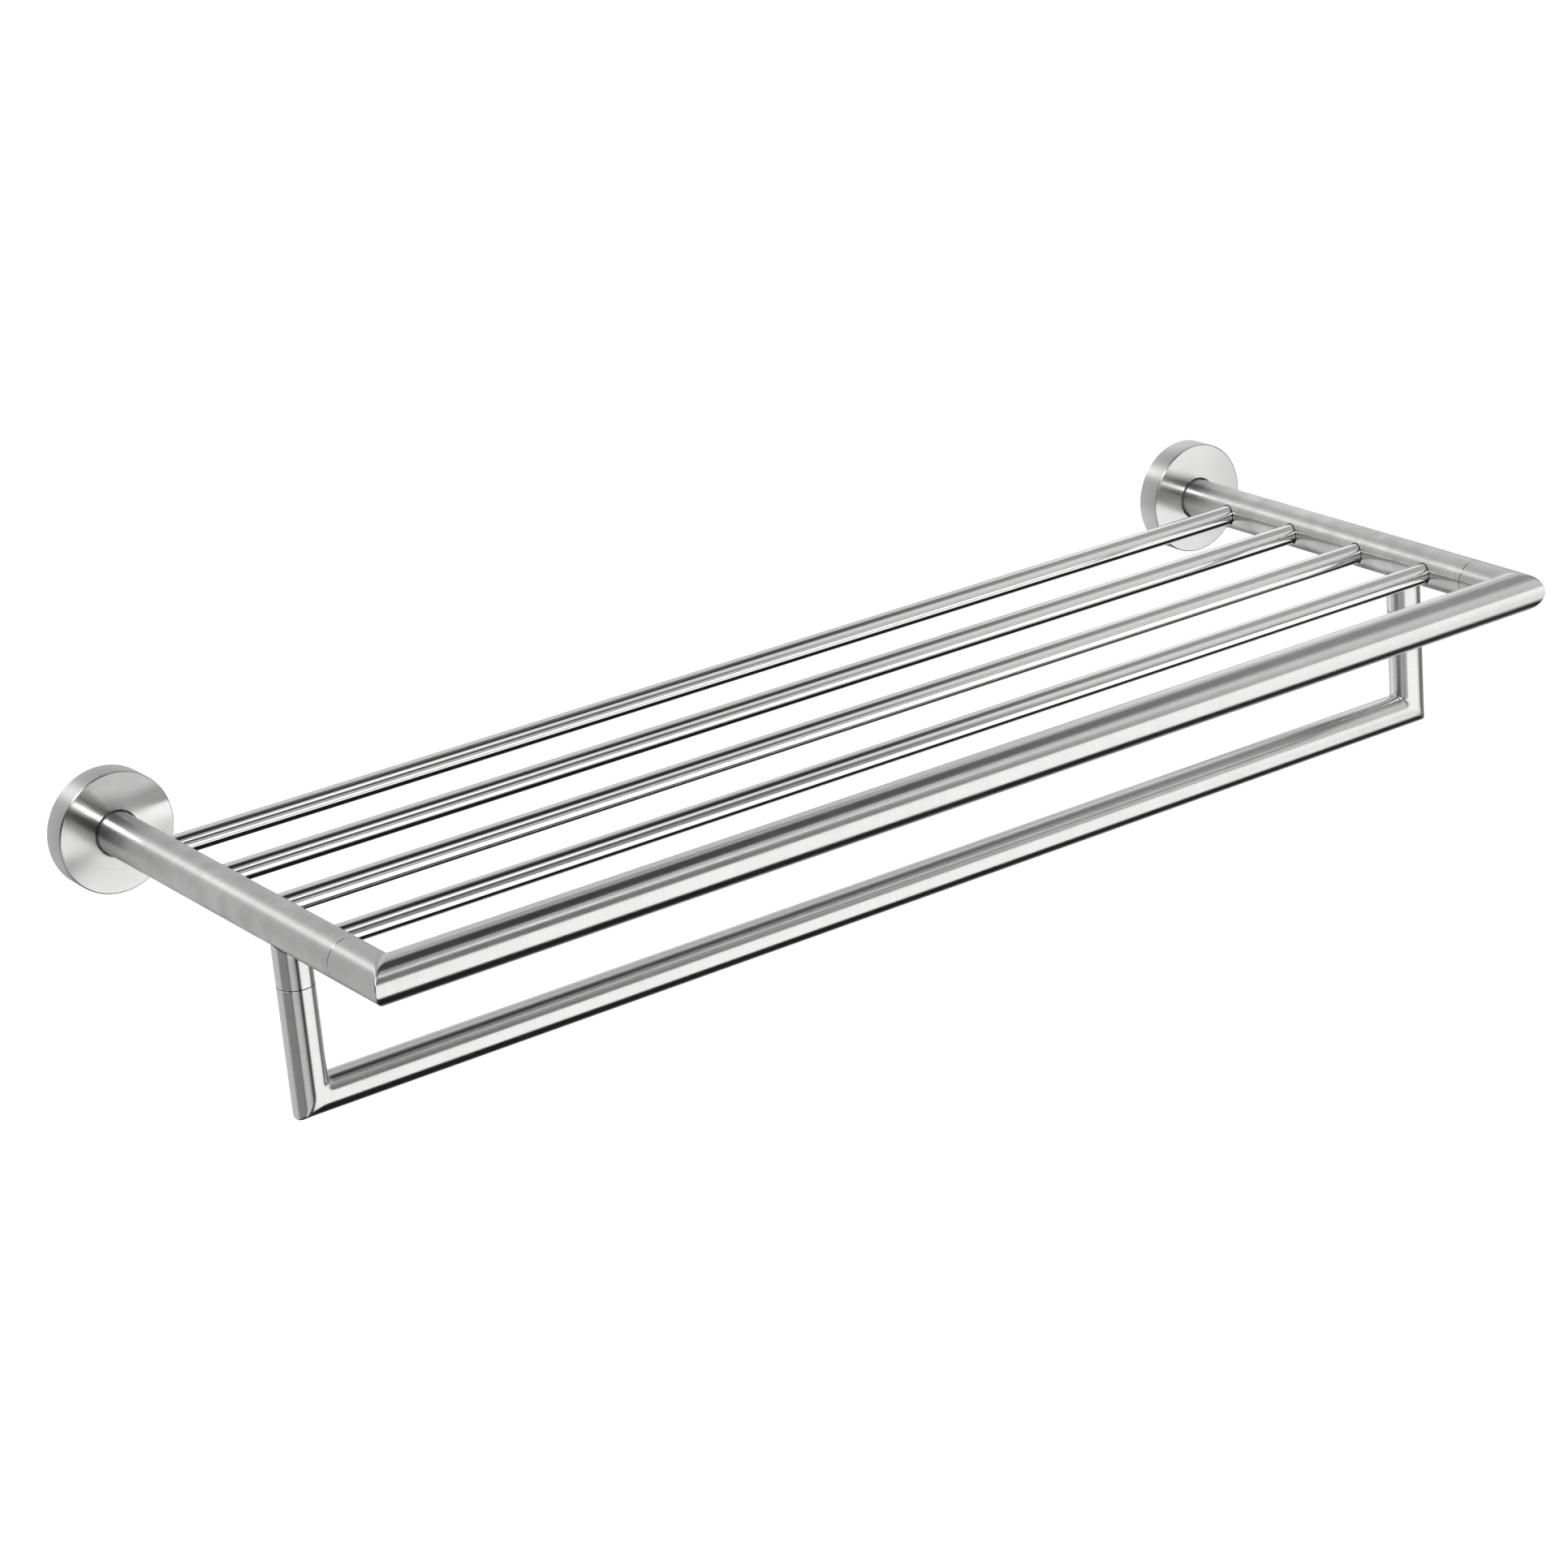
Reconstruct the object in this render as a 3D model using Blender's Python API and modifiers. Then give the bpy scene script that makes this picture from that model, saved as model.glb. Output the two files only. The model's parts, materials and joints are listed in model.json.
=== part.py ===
"""Wall-mounted towel rack: a four-bar shelf with a towel rail hung below it, in stainless tube.

Two arms stand out of round rosettes on the wall. A mitred front rail joins their ends, thin bars
plug into their inner sides, and a U-shaped towel rail drops from coped stubs under them.

X runs along the rails to the right, Y runs into the wall and Z is up. The origin is on the wall,
midway between the arms, at the height of their axes. Lengths are in metres.
"""

import math
from dataclasses import dataclass

import bmesh
import bpy
from mathutils import Matrix, Vector

MM = 0.001

# The rack as a whole
ARM_SPACING = 600 * MM  # between the axes of the two arms
SHELF_DEPTH = 232.5 * MM  # from the wall to the axis of the front rail
RAIL_DROP = 74 * MM  # from the arms' axes down to the axis of the towel rail
RAIL_BEHIND_FRONT = 74.5 * MM  # from the front rail's axis back to the towel rail's

# Tube stock
FRAME_DIAMETER = 19 * MM  # arms and front rail
FRAME_WALL = 1.2 * MM
RAIL_DIAMETER = 16 * MM  # towel rail and its stubs
RAIL_WALL = 1.2 * MM
BAR_DIAMETER = 9.5 * MM  # shelf bars
BAR_WALL = 1 * MM

# Fits. Pieces that touch on the real rack stand one seat gap apart.
SEAT_GAP = 0.3 * MM
OVERRUN = 3 * MM  # how far a cutter runs past what it cuts

# Shelf bars
BAR_COUNT = 4
FIRST_BAR_FROM_WALL = 44 * MM
LAST_BAR_BEHIND_SEAM = 24.5 * MM

# Seams in the tubes, each with a plug inside
FRONT_RETURN = 27 * MM  # from the front rail's axis back to the seams in the arms
FRONT_PLUG_TO_BAR = 7.5 * MM  # left free between a plug's end and the last bar's hole
FRONT_PLUG_TO_CORNER = 5.5 * MM  # left free between a plug's end and the mitred corner
STUB_SEAM_DROP = 24.5 * MM  # from the arms' axes down to the seams in the drops
RAIL_PLUG_TO_ARM = 3 * MM  # left free between a plug's top and the arm
RAIL_PLUG_DEPTH = 13 * MM  # how far a plug reaches into the towel rail's leg
PLUG_CHAMFER = 1 * MM

# Rosette, the round cover on the wall
ROSETTE_DIAMETER = 54 * MM
ROSETTE_DEPTH = 12 * MM
ROSETTE_FACE = 2 * MM
ROSETTE_RIM = 2.2 * MM
ROSETTE_EDGE_RADIUS = 0.8 * MM
ROSETTE_BORE_CLEARANCE = 0.6 * MM
ROSETTE_CHAMFER = 0.4 * MM

# Wall plate under the rosette
PLATE_EDGE_CLEARANCE = 0.4 * MM
PLATE_WEB = 1.9 * MM  # metal between the countersink and the arm's seat
PLATE_CHAMFER = 0.5 * MM
PLATE_GROOVE_DEPTH = 1.2 * MM  # V groove in the edge, for the rosette's screw
ARM_SEAT_DEPTH = 0.8 * MM
SLOT_COUNT = 3
SLOT_WIDTH = 5 * MM
SLOT_SWEEP = math.radians(26)

# Countersunk screw and threaded insert that hold the arm to the wall plate
ARM_SCREW_DIAMETER = 6 * MM
ARM_SCREW_HEAD_DIAMETER = 11.5 * MM
ARM_SCREW_HEAD_EDGE = 0.4 * MM
ARM_SCREW_LENGTH = 20 * MM
ARM_SCREW_CHAMFER = 0.8 * MM
ARM_SCREW_SOCKET = 4 * MM  # across flats
ARM_SCREW_SOCKET_DEPTH = 2.2 * MM
INSERT_LENGTH = 22 * MM
INSERT_CHAMFER = 0.8 * MM

# Grub screws with a hexagon socket
ROSETTE_SCREW_DIAMETER = 3 * MM
ROSETTE_SCREW_SOCKET = 1.5 * MM
TUBE_SCREW_DIAMETER = 4 * MM
TUBE_SCREW_SOCKET = 2 * MM
TUBE_SCREW_LENGTH = 5 * MM
SCREW_RECESS = 0.3 * MM  # how far a screw's socket end lies below the surface round it
GRUB_SOCKET_DEPTH = 1.3 * MM
GRUB_CHAMFER = 0.25 * MM
GRUB_TIP_SHARE = 0.3  # radius of the flat tip, as a share of the screw's

# Facets
FRAME_SIDES = 40
RAIL_SIDES = 36
BAR_SIDES = 24
PLUG_SIDES = 24
ROSETTE_STEPS = 64
PLATE_STEPS = 48
SCREW_SIDES = 16
EDGE_STEPS = 3
SLOT_STEPS = 6
HEXAGON_SIDES = 6
SHARP_ANGLE = math.radians(35)
MERGE_DISTANCE = 0.01 * MM


@dataclass
class TubeStock:
    """Round tube: outside radius, radius of the bore, and facets round it."""

    radius: float
    bore: float
    sides: int


FRAME_TUBE = TubeStock(FRAME_DIAMETER / 2, FRAME_DIAMETER / 2 - FRAME_WALL, FRAME_SIDES)
RAIL_TUBE = TubeStock(RAIL_DIAMETER / 2, RAIL_DIAMETER / 2 - RAIL_WALL, RAIL_SIDES)
BAR_TUBE = TubeStock(BAR_DIAMETER / 2, BAR_DIAMETER / 2 - BAR_WALL, BAR_SIDES)

# Places worked out from the sizes above
SEAM_FROM_WALL = SHELF_DEPTH - FRONT_RETURN
RAIL_FROM_WALL = SHELF_DEPTH - RAIL_BEHIND_FRONT
BAR_HOLE_RADIUS = BAR_TUBE.radius + SEAT_GAP
ARM_SEAT_RADIUS = FRAME_TUBE.radius + SEAT_GAP

# A 45 degree slope keeps the seat gap to a parallel one when it is root two times as far along.
SLOPED_GAP = SEAT_GAP * math.sqrt(2)
ARM_SCREW_RADIUS = ARM_SCREW_DIAMETER / 2
ARM_SCREW_HOLE = ARM_SCREW_RADIUS + SEAT_GAP
ARM_SCREW_HEAD = ARM_SCREW_HEAD_DIAMETER / 2
COUNTERSINK_RADIUS = ARM_SCREW_HEAD + ARM_SCREW_HEAD_EDGE + SCREW_RECESS + SLOPED_GAP
COUNTERSINK_DEPTH = COUNTERSINK_RADIUS - ARM_SCREW_HOLE

ROSETTE_RADIUS = ROSETTE_DIAMETER / 2
ROSETTE_INSIDE = ROSETTE_RADIUS - ROSETTE_RIM
ROSETTE_BORE = FRAME_TUBE.radius + ROSETTE_BORE_CLEARANCE
PLATE_RADIUS = ROSETTE_INSIDE - PLATE_EDGE_CLEARANCE
PLATE_THICKNESS = COUNTERSINK_DEPTH + PLATE_WEB + ARM_SEAT_DEPTH
PLATE_MIDDLE = PLATE_THICKNESS / 2
PLATE_GROOVE_RADIUS = PLATE_RADIUS - PLATE_GROOVE_DEPTH
ARM_START = PLATE_THICKNESS - ARM_SEAT_DEPTH + SEAT_GAP

RIGHT = Vector((1, 0, 0))
LEFT = Vector((-1, 0, 0))
OUT_OF_WALL = Vector((0, -1, 0))
INTO_WALL = Vector((0, 1, 0))
DOWN = Vector((0, 0, -1))

# Colour and roughness of each finish. All of them are bare metal.
BRUSHED_STEEL = ((0.62, 0.62, 0.61), 0.3)
POLISHED_STEEL = ((0.7, 0.7, 0.69), 0.16)
PLAIN_STEEL = ((0.5, 0.5, 0.49), 0.42)
ZINC_PLATED_STEEL = ((0.58, 0.6, 0.62), 0.38)
DARK_STEEL = ((0.34, 0.34, 0.35), 0.36)


def clear_objects():
    for obj in list(bpy.data.objects):
        bpy.data.objects.remove(obj, do_unlink=True)


def new_collection(name):
    collection = bpy.data.collections.new(name)
    bpy.context.scene.collection.children.link(collection)
    return collection


def metal(name, finish):
    """A bare metal in one of the finishes."""
    colour, roughness = finish
    material = bpy.data.materials.new(name)
    material.use_nodes = True
    shader = material.node_tree.nodes["Principled BSDF"]
    shader.inputs["Base Color"].default_value = (*colour, 1)
    shader.inputs["Roughness"].default_value = roughness
    shader.inputs["Metallic"].default_value = 1
    return material


def add_part(name, mesh, finish, hub=None):
    """Put a sub-part into the rack, with a metal of its own and its round faces shaded smooth."""
    mesh.shade_smooth()
    mesh.set_sharp_from_angle(angle=SHARP_ANGLE)
    mesh.materials.append(metal(name, finish))
    part = bpy.data.objects.new(name, mesh)
    part.parent = hub
    PARTS.objects.link(part)
    return part


def cut(target, name, mesh, hub=None):
    """Take a shape out of a part. The shape stays as a cutter, which more parts can use."""
    cutter = bpy.data.objects.new(name, mesh)
    cutter.parent = hub
    cutter.hide_render = True
    cutter.display_type = "WIRE"
    CUTTERS.objects.link(cutter)
    cut_with(target, cutter)
    return cutter


def cut_with(target, cutter):
    boolean = target.modifiers.new(cutter.name, "BOOLEAN")
    boolean.operation = "DIFFERENCE"
    boolean.solver = "EXACT"
    boolean.object = cutter


def aim(obj, place, direction):
    """Stand an object that was made along Z at a place, pointing in a direction."""
    obj.location = place
    obj.rotation_mode = "QUATERNION"
    obj.rotation_quaternion = direction.to_track_quat("Z", "Y")


def face_out_of_wall(obj):
    """Turn an object that was made flat in X and Y, so that its top looks out of the wall."""
    obj.rotation_euler.x = math.radians(90)


def evaluated_mesh(obj):
    """The mesh that an object's modifiers or curve settings make. The object itself goes."""
    bpy.context.scene.collection.objects.link(obj)
    graph = bpy.context.evaluated_depsgraph_get()
    mesh = bpy.data.meshes.new_from_object(obj.evaluated_get(graph))
    bpy.data.objects.remove(obj, do_unlink=True)
    return mesh


def mesh_from(bm):
    mesh = bpy.data.meshes.new("shape")
    bm.to_mesh(mesh)
    bm.free()
    return mesh


def turned(profile, steps, solid=False):
    """Turn (radius, height) points about Z. The profile of a solid piece starts and ends there."""
    edges = [(i, i + 1) for i in range(len(profile) - 1)]
    if not solid:
        edges.append((len(profile) - 1, 0))
    outline = bpy.data.meshes.new("profile")
    outline.from_pydata([(radius, 0, height) for radius, height in profile], edges, [])
    obj = bpy.data.objects.new("profile", outline)
    screw = obj.modifiers.new("Turn", "SCREW")
    screw.steps = steps
    screw.render_steps = steps
    screw.use_merge_vertices = True
    screw.merge_threshold = MERGE_DISTANCE
    return evaluated_mesh(obj)


def rod(start, end, radius, sides):
    """A solid rod between two points, for cutters."""
    axis = end - start
    middle = Matrix.LocRotScale(start + axis / 2, axis.to_track_quat("Z", "Y"), None)
    bm = bmesh.new()
    bmesh.ops.create_cone(
        bm, cap_ends=True, segments=sides, radius1=radius, radius2=radius, depth=axis.length, matrix=middle
    )
    return mesh_from(bm)


def grow_ring(bm, edges):
    """Extrude a ring of edges in place. Returns the new ring's points and edges."""
    grown = bmesh.ops.extrude_edge_only(bm, edges=edges)["geom"]
    verts = {item for item in grown if isinstance(item, bmesh.types.BMVert)}
    edges = [item for item in grown if isinstance(item, bmesh.types.BMEdge) and verts.issuperset(item.verts)]
    return verts, edges


def sweep_ring(bm, edges, corners):
    """Sweep a ring along straight runs, and cut each run's end on the mitre plane there."""
    runs = [(b - a).normalized() for a, b in zip(corners, corners[1:])]
    for run, next_run, corner in zip(runs, runs[1:] + runs[-1:], corners[1:]):
        mitre = (run + next_run).normalized()
        verts, edges = grow_ring(bm, edges)
        for vert in verts:
            vert.co += run * ((corner - vert.co).dot(mitre) / run.dot(mitre))
    return edges


def resize_ring(bm, edges, centre, factor):
    """Turn a ring into a flat annulus round its centre, out to a wider or in to a narrower ring."""
    verts, edges = grow_ring(bm, edges)
    for vert in verts:
        vert.co = centre + (vert.co - centre) * factor
    return edges


def swept_tube(corners, stock):
    """A tube of straight runs with mitred corners, open at both ends.

    One ring goes out along the outside, in over the far end, back along the bore and out over the
    near end, where it meets itself.
    """
    first_run = corners[1] - corners[0]
    start = Matrix.LocRotScale(corners[0], first_run.to_track_quat("Z", "Y"), None)
    bm = bmesh.new()
    bmesh.ops.create_circle(bm, segments=stock.sides, radius=stock.radius, matrix=start)
    edges = sweep_ring(bm, bm.edges[:], corners)
    edges = resize_ring(bm, edges, corners[-1], stock.bore / stock.radius)
    edges = sweep_ring(bm, edges, corners[::-1])
    resize_ring(bm, edges, corners[0], stock.radius / stock.bore)
    bmesh.ops.remove_doubles(bm, verts=bm.verts, dist=MERGE_DISTANCE)
    bmesh.ops.recalc_face_normals(bm, faces=bm.faces)
    return mesh_from(bm)


def on_circle(radius, angle):
    return Vector((math.cos(angle), math.sin(angle), 0)) * radius


def slot_outline(pitch_radius, middle):
    """Outline of a curved slot with round ends, along the circle that the wall screws are on."""
    half_width = SLOT_WIDTH / 2
    shares = [step / SLOT_STEPS for step in range(SLOT_STEPS + 1)]
    first, last = middle - SLOT_SWEEP / 2, middle + SLOT_SWEEP / 2
    far_side = [on_circle(pitch_radius + half_width, first + share * SLOT_SWEEP) for share in shares]
    last_end = [
        on_circle(pitch_radius, last) + on_circle(half_width, last + share * math.pi) for share in shares
    ]
    near_side = [on_circle(pitch_radius - half_width, last - share * SLOT_SWEEP) for share in shares]
    first_end = [
        on_circle(pitch_radius, first) + on_circle(half_width, first + math.pi + share * math.pi)
        for share in shares
    ]
    return far_side[1:] + last_end[1:] + near_side[1:] + first_end[1:]


def prism(outline, half_height):
    """A flat outline made solid to both sides of its own plane."""
    curve = bpy.data.curves.new("outline", "CURVE")
    curve.dimensions = "2D"
    curve.fill_mode = "BOTH"
    curve.extrude = half_height
    spline = curve.splines.new("POLY")
    spline.points.add(len(outline) - 1)
    for point, place in zip(spline.points, outline):
        point.co = (*place, 1)
    spline.use_cyclic_u = True
    bm = bmesh.new()
    bm.from_mesh(evaluated_mesh(bpy.data.objects.new("outline", curve)))
    bmesh.ops.remove_doubles(bm, verts=bm.verts, dist=MERGE_DISTANCE)
    bmesh.ops.recalc_face_normals(bm, faces=bm.faces)
    return mesh_from(bm)


def rounded_edge(radius, height, fillet):
    """Points from the flat top at (radius, height) round to the side below it."""
    angles = [step / EDGE_STEPS * math.pi / 2 for step in range(EDGE_STEPS + 1)]
    centre_radius, centre_height = radius - fillet, height - fillet
    return [(centre_radius + fillet * math.sin(a), centre_height + fillet * math.cos(a)) for a in angles]


def cut_socket(screw, hub, mouth, outward, across_flats, depth):
    """Cut a hexagon socket into a screw, from its mouth inwards."""
    corner_radius = across_flats / 2 / math.cos(math.pi / HEXAGON_SIDES)
    key = rod(mouth - outward * depth, mouth + outward * OVERRUN, corner_radius, HEXAGON_SIDES)
    cut(screw, screw.name + "_socket", key, hub)


def grub_tip(diameter):
    return diameter / 2 * GRUB_TIP_SHARE


def grub_screw(name, hub, tip, outward, length, diameter, socket):
    """A headless screw from its tip to the socket in its outer end."""
    radius = diameter / 2
    profile = [
        (0, length),
        (radius - GRUB_CHAMFER, length),
        (radius, length - GRUB_CHAMFER),
        (radius, radius - grub_tip(diameter)),
        (grub_tip(diameter), 0),
        (0, 0),
    ]
    screw = add_part(name, turned(profile, SCREW_SIDES, solid=True), DARK_STEEL, hub)
    aim(screw, tip, outward)
    cut_socket(screw, hub, tip + outward * length, outward, socket, GRUB_SOCKET_DEPTH)


def wall_plate(side, hub):
    """The disc that wall screws hold through its slots. The arm's end sits in its front."""
    profile = [
        (PLATE_RADIUS - PLATE_CHAMFER, PLATE_THICKNESS),
        (PLATE_RADIUS, PLATE_THICKNESS - PLATE_CHAMFER),
        (PLATE_RADIUS, PLATE_MIDDLE + PLATE_GROOVE_DEPTH),
        (PLATE_GROOVE_RADIUS, PLATE_MIDDLE),
        (PLATE_RADIUS, PLATE_MIDDLE - PLATE_GROOVE_DEPTH),
        (PLATE_RADIUS, 0),
        (COUNTERSINK_RADIUS, 0),
        (ARM_SCREW_HOLE, COUNTERSINK_DEPTH),
        (ARM_SCREW_HOLE, PLATE_THICKNESS - ARM_SEAT_DEPTH),
        (ARM_SEAT_RADIUS, PLATE_THICKNESS - ARM_SEAT_DEPTH),
        (ARM_SEAT_RADIUS, PLATE_THICKNESS),
    ]
    plate = add_part(side + "_wall_plate", turned(profile, PLATE_STEPS), ZINC_PLATED_STEEL, hub)
    face_out_of_wall(plate)
    pitch_radius = (ARM_SEAT_RADIUS + PLATE_GROOVE_RADIUS) / 2
    for i in range(SLOT_COUNT):
        middle = math.pi / 2 + i * math.tau / SLOT_COUNT
        slot = prism(slot_outline(pitch_radius, middle), PLATE_THICKNESS + OVERRUN)
        face_out_of_wall(cut(plate, f"{side}_wall_slot_{i + 1}", slot, hub))


def rosette(side, hub):
    """The turned cover. It slides on the arm and hides the wall plate and its screws."""
    back_of_face = ROSETTE_DEPTH - ROSETTE_FACE
    profile = [
        *rounded_edge(ROSETTE_RADIUS, ROSETTE_DEPTH, ROSETTE_EDGE_RADIUS),
        (ROSETTE_RADIUS, 0),
        (ROSETTE_INSIDE + ROSETTE_CHAMFER, 0),
        (ROSETTE_INSIDE, ROSETTE_CHAMFER),
        (ROSETTE_INSIDE, back_of_face),
        (ROSETTE_BORE, back_of_face),
        (ROSETTE_BORE, ROSETTE_DEPTH - ROSETTE_CHAMFER),
        (ROSETTE_BORE + ROSETTE_CHAMFER, ROSETTE_DEPTH),
    ]
    cover = add_part(side + "_rosette", turned(profile, ROSETTE_STEPS), BRUSHED_STEEL, hub)
    face_out_of_wall(cover)

    # The screw under the rim bites the V groove in the wall plate's edge.
    centre = OUT_OF_WALL * PLATE_MIDDLE
    hole_radius = ROSETTE_SCREW_DIAMETER / 2 + SEAT_GAP
    hole_top = centre + DOWN * (ROSETTE_INSIDE - OVERRUN)
    hole = rod(hole_top, centre + DOWN * (ROSETTE_RADIUS + OVERRUN), hole_radius, SCREW_SIDES)
    cut(cover, side + "_rosette_screw_hole", hole, hub)
    tip = PLATE_GROOVE_RADIUS + grub_tip(ROSETTE_SCREW_DIAMETER) + SLOPED_GAP
    length = ROSETTE_RADIUS - SCREW_RECESS - tip
    sizes = length, ROSETTE_SCREW_DIAMETER, ROSETTE_SCREW_SOCKET
    grub_screw(side + "_rosette_screw", hub, centre + DOWN * tip, DOWN, *sizes)


def arm_insert(side, hub):
    """The threaded plug pressed into the arm's wall end."""
    radius = FRAME_TUBE.bore - SEAT_GAP
    profile = [
        (radius - INSERT_CHAMFER, INSERT_LENGTH),
        (radius, INSERT_LENGTH - INSERT_CHAMFER),
        (radius, INSERT_CHAMFER),
        (radius - INSERT_CHAMFER, 0),
        (ARM_SCREW_HOLE + INSERT_CHAMFER, 0),
        (ARM_SCREW_HOLE, INSERT_CHAMFER),
        (ARM_SCREW_HOLE, INSERT_LENGTH - INSERT_CHAMFER),
        (ARM_SCREW_HOLE + INSERT_CHAMFER, INSERT_LENGTH),
    ]
    insert = add_part(side + "_arm_insert", turned(profile, PLUG_SIDES), PLAIN_STEEL, hub)
    aim(insert, OUT_OF_WALL * ARM_START, OUT_OF_WALL)


def arm_screw(side, hub):
    """The countersunk screw that pulls the insert on to the wall plate from behind."""
    shoulder = ARM_SCREW_HEAD_EDGE + ARM_SCREW_HEAD - ARM_SCREW_RADIUS
    profile = [
        (0, ARM_SCREW_LENGTH),
        (ARM_SCREW_RADIUS - ARM_SCREW_CHAMFER, ARM_SCREW_LENGTH),
        (ARM_SCREW_RADIUS, ARM_SCREW_LENGTH - ARM_SCREW_CHAMFER),
        (ARM_SCREW_RADIUS, shoulder),
        (ARM_SCREW_HEAD, ARM_SCREW_HEAD_EDGE),
        (ARM_SCREW_HEAD, 0),
        (0, 0),
    ]
    screw = add_part(side + "_arm_screw", turned(profile, PLUG_SIDES, solid=True), ZINC_PLATED_STEEL, hub)
    head = OUT_OF_WALL * SCREW_RECESS
    aim(screw, head, OUT_OF_WALL)
    cut_socket(screw, hub, head, INTO_WALL, ARM_SCREW_SOCKET, ARM_SCREW_SOCKET_DEPTH)


def bars_from_wall():
    """How far each shelf bar stands from the wall, evenly spaced from the first to the last."""
    pitch = (SEAM_FROM_WALL - LAST_BAR_BEHIND_SEAM - FIRST_BAR_FROM_WALL) / (BAR_COUNT - 1)
    return [FIRST_BAR_FROM_WALL + i * pitch for i in range(BAR_COUNT)]


def arm(side, inward, hub):
    """The tube from the wall plate to the front seam, drilled on its inner side for the bars."""
    ends = [OUT_OF_WALL * ARM_START, OUT_OF_WALL * (SEAM_FROM_WALL - SEAT_GAP / 2)]
    tube = add_part(side + "_arm", swept_tube(ends, FRAME_TUBE), BRUSHED_STEEL, hub)
    for i, from_wall in enumerate(bars_from_wall()):
        axis = OUT_OF_WALL * from_wall
        mouth = axis + inward * (FRAME_TUBE.radius + OVERRUN)
        cut(tube, f"{side}_bar_hole_{i + 1}", rod(axis, mouth, BAR_HOLE_RADIUS, BAR_SIDES), hub)


def shelf_bars():
    """The bars, which end just short of the far walls of both arms and so cannot slide out."""
    past_axis = math.sqrt(FRAME_TUBE.bore**2 - BAR_TUBE.radius**2) - SEAT_GAP
    reach = ARM_SPACING / 2 + past_axis
    for i, from_wall in enumerate(bars_from_wall()):
        middle = OUT_OF_WALL * from_wall
        tube = swept_tube([middle + LEFT * reach, middle + RIGHT * reach], BAR_TUBE)
        add_part(f"shelf_bar_{i + 1}", tube, POLISHED_STEEL)


def seam_plug(name, hub, seam, ahead, back_reach, front_reach, stock, tube, outward):
    """A plug across a seam, and the grub screw that locks the tube ahead of the seam to it."""
    radius = stock.bore - SEAT_GAP
    length = back_reach + front_reach
    profile = [
        (0, length),
        (radius - PLUG_CHAMFER, length),
        (radius, length - PLUG_CHAMFER),
        (radius, PLUG_CHAMFER),
        (radius - PLUG_CHAMFER, 0),
        (0, 0),
    ]
    plug = add_part(name + "_plug", turned(profile, PLUG_SIDES, solid=True), PLAIN_STEEL, hub)
    aim(plug, seam - ahead * back_reach, ahead)

    axis = seam + ahead * front_reach / 2
    tip = stock.radius - SCREW_RECESS - TUBE_SCREW_LENGTH
    hole_radius = TUBE_SCREW_DIAMETER / 2 + SEAT_GAP
    hole_floor = axis + outward * (tip - SEAT_GAP)
    hole = rod(hole_floor, axis + outward * (stock.radius + OVERRUN), hole_radius, SCREW_SIDES)
    cut_with(tube, cut(plug, name + "_screw_hole", hole, hub))
    sizes = TUBE_SCREW_LENGTH, TUBE_SCREW_DIAMETER, TUBE_SCREW_SOCKET
    grub_screw(name + "_screw", hub, axis + outward * tip, outward, *sizes)


def drop_stub(side, hub):
    """The short tube under the arm, coped to the arm's round underside."""
    top = OUT_OF_WALL * RAIL_FROM_WALL
    end = top + DOWN * (STUB_SEAM_DROP - SEAT_GAP / 2)
    stub = add_part(side + "_drop_stub", swept_tube([top, end], RAIL_TUBE), BRUSHED_STEEL, hub)
    half_length = OUT_OF_WALL * (RAIL_TUBE.radius + OVERRUN)
    saddle = rod(top - half_length, top + half_length, FRAME_TUBE.radius + SEAT_GAP, FRAME_SIDES)
    cut(stub, side + "_saddle", saddle, hub)


def front_rail():
    """The long front tube and its two short returns, mitred at the corners."""
    half_width = ARM_SPACING / 2
    end = OUT_OF_WALL * (SEAM_FROM_WALL + SEAT_GAP / 2)
    corner = OUT_OF_WALL * SHELF_DEPTH
    corners = [LEFT * half_width + end, LEFT * half_width + corner]
    corners += [RIGHT * half_width + corner, RIGHT * half_width + end]
    return add_part("front_rail", swept_tube(corners, FRAME_TUBE), BRUSHED_STEEL)


def towel_rail():
    """The U that towels hang on: the long rail and its two legs, mitred at the corners."""
    half_width = ARM_SPACING / 2
    end = OUT_OF_WALL * RAIL_FROM_WALL + DOWN * (STUB_SEAM_DROP + SEAT_GAP / 2)
    corner = OUT_OF_WALL * RAIL_FROM_WALL + DOWN * RAIL_DROP
    corners = [LEFT * half_width + end, LEFT * half_width + corner]
    corners += [RIGHT * half_width + corner, RIGHT * half_width + end]
    return add_part("towel_rail", swept_tube(corners, RAIL_TUBE), BRUSHED_STEEL)


def side_pieces(side, inward, front, rail):
    """Everything at one side, placed from the point where the arm's axis meets the wall."""
    hub = bpy.data.objects.new(side + "_side", None)
    hub.location = inward * -ARM_SPACING / 2
    PARTS.objects.link(hub)
    wall_plate(side, hub)
    rosette(side, hub)
    arm_insert(side, hub)
    arm_screw(side, hub)
    arm(side, inward, hub)
    drop_stub(side, hub)

    front_seam = OUT_OF_WALL * SEAM_FROM_WALL
    into_arm = LAST_BAR_BEHIND_SEAM - BAR_HOLE_RADIUS - FRONT_PLUG_TO_BAR
    into_return = FRONT_RETURN - FRAME_TUBE.radius - FRONT_PLUG_TO_CORNER
    reaches = into_arm, into_return
    seam_plug(side + "_front", hub, front_seam, OUT_OF_WALL, *reaches, FRAME_TUBE, front, DOWN)

    stub_seam = OUT_OF_WALL * RAIL_FROM_WALL + DOWN * STUB_SEAM_DROP
    reaches = STUB_SEAM_DROP - FRAME_TUBE.radius - RAIL_PLUG_TO_ARM, RAIL_PLUG_DEPTH
    seam_plug(side + "_rail", hub, stub_seam, DOWN, *reaches, RAIL_TUBE, rail, INTO_WALL)


clear_objects()
PARTS = new_collection("towel_rack")
CUTTERS = new_collection("towel_rack_cutters")

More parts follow.
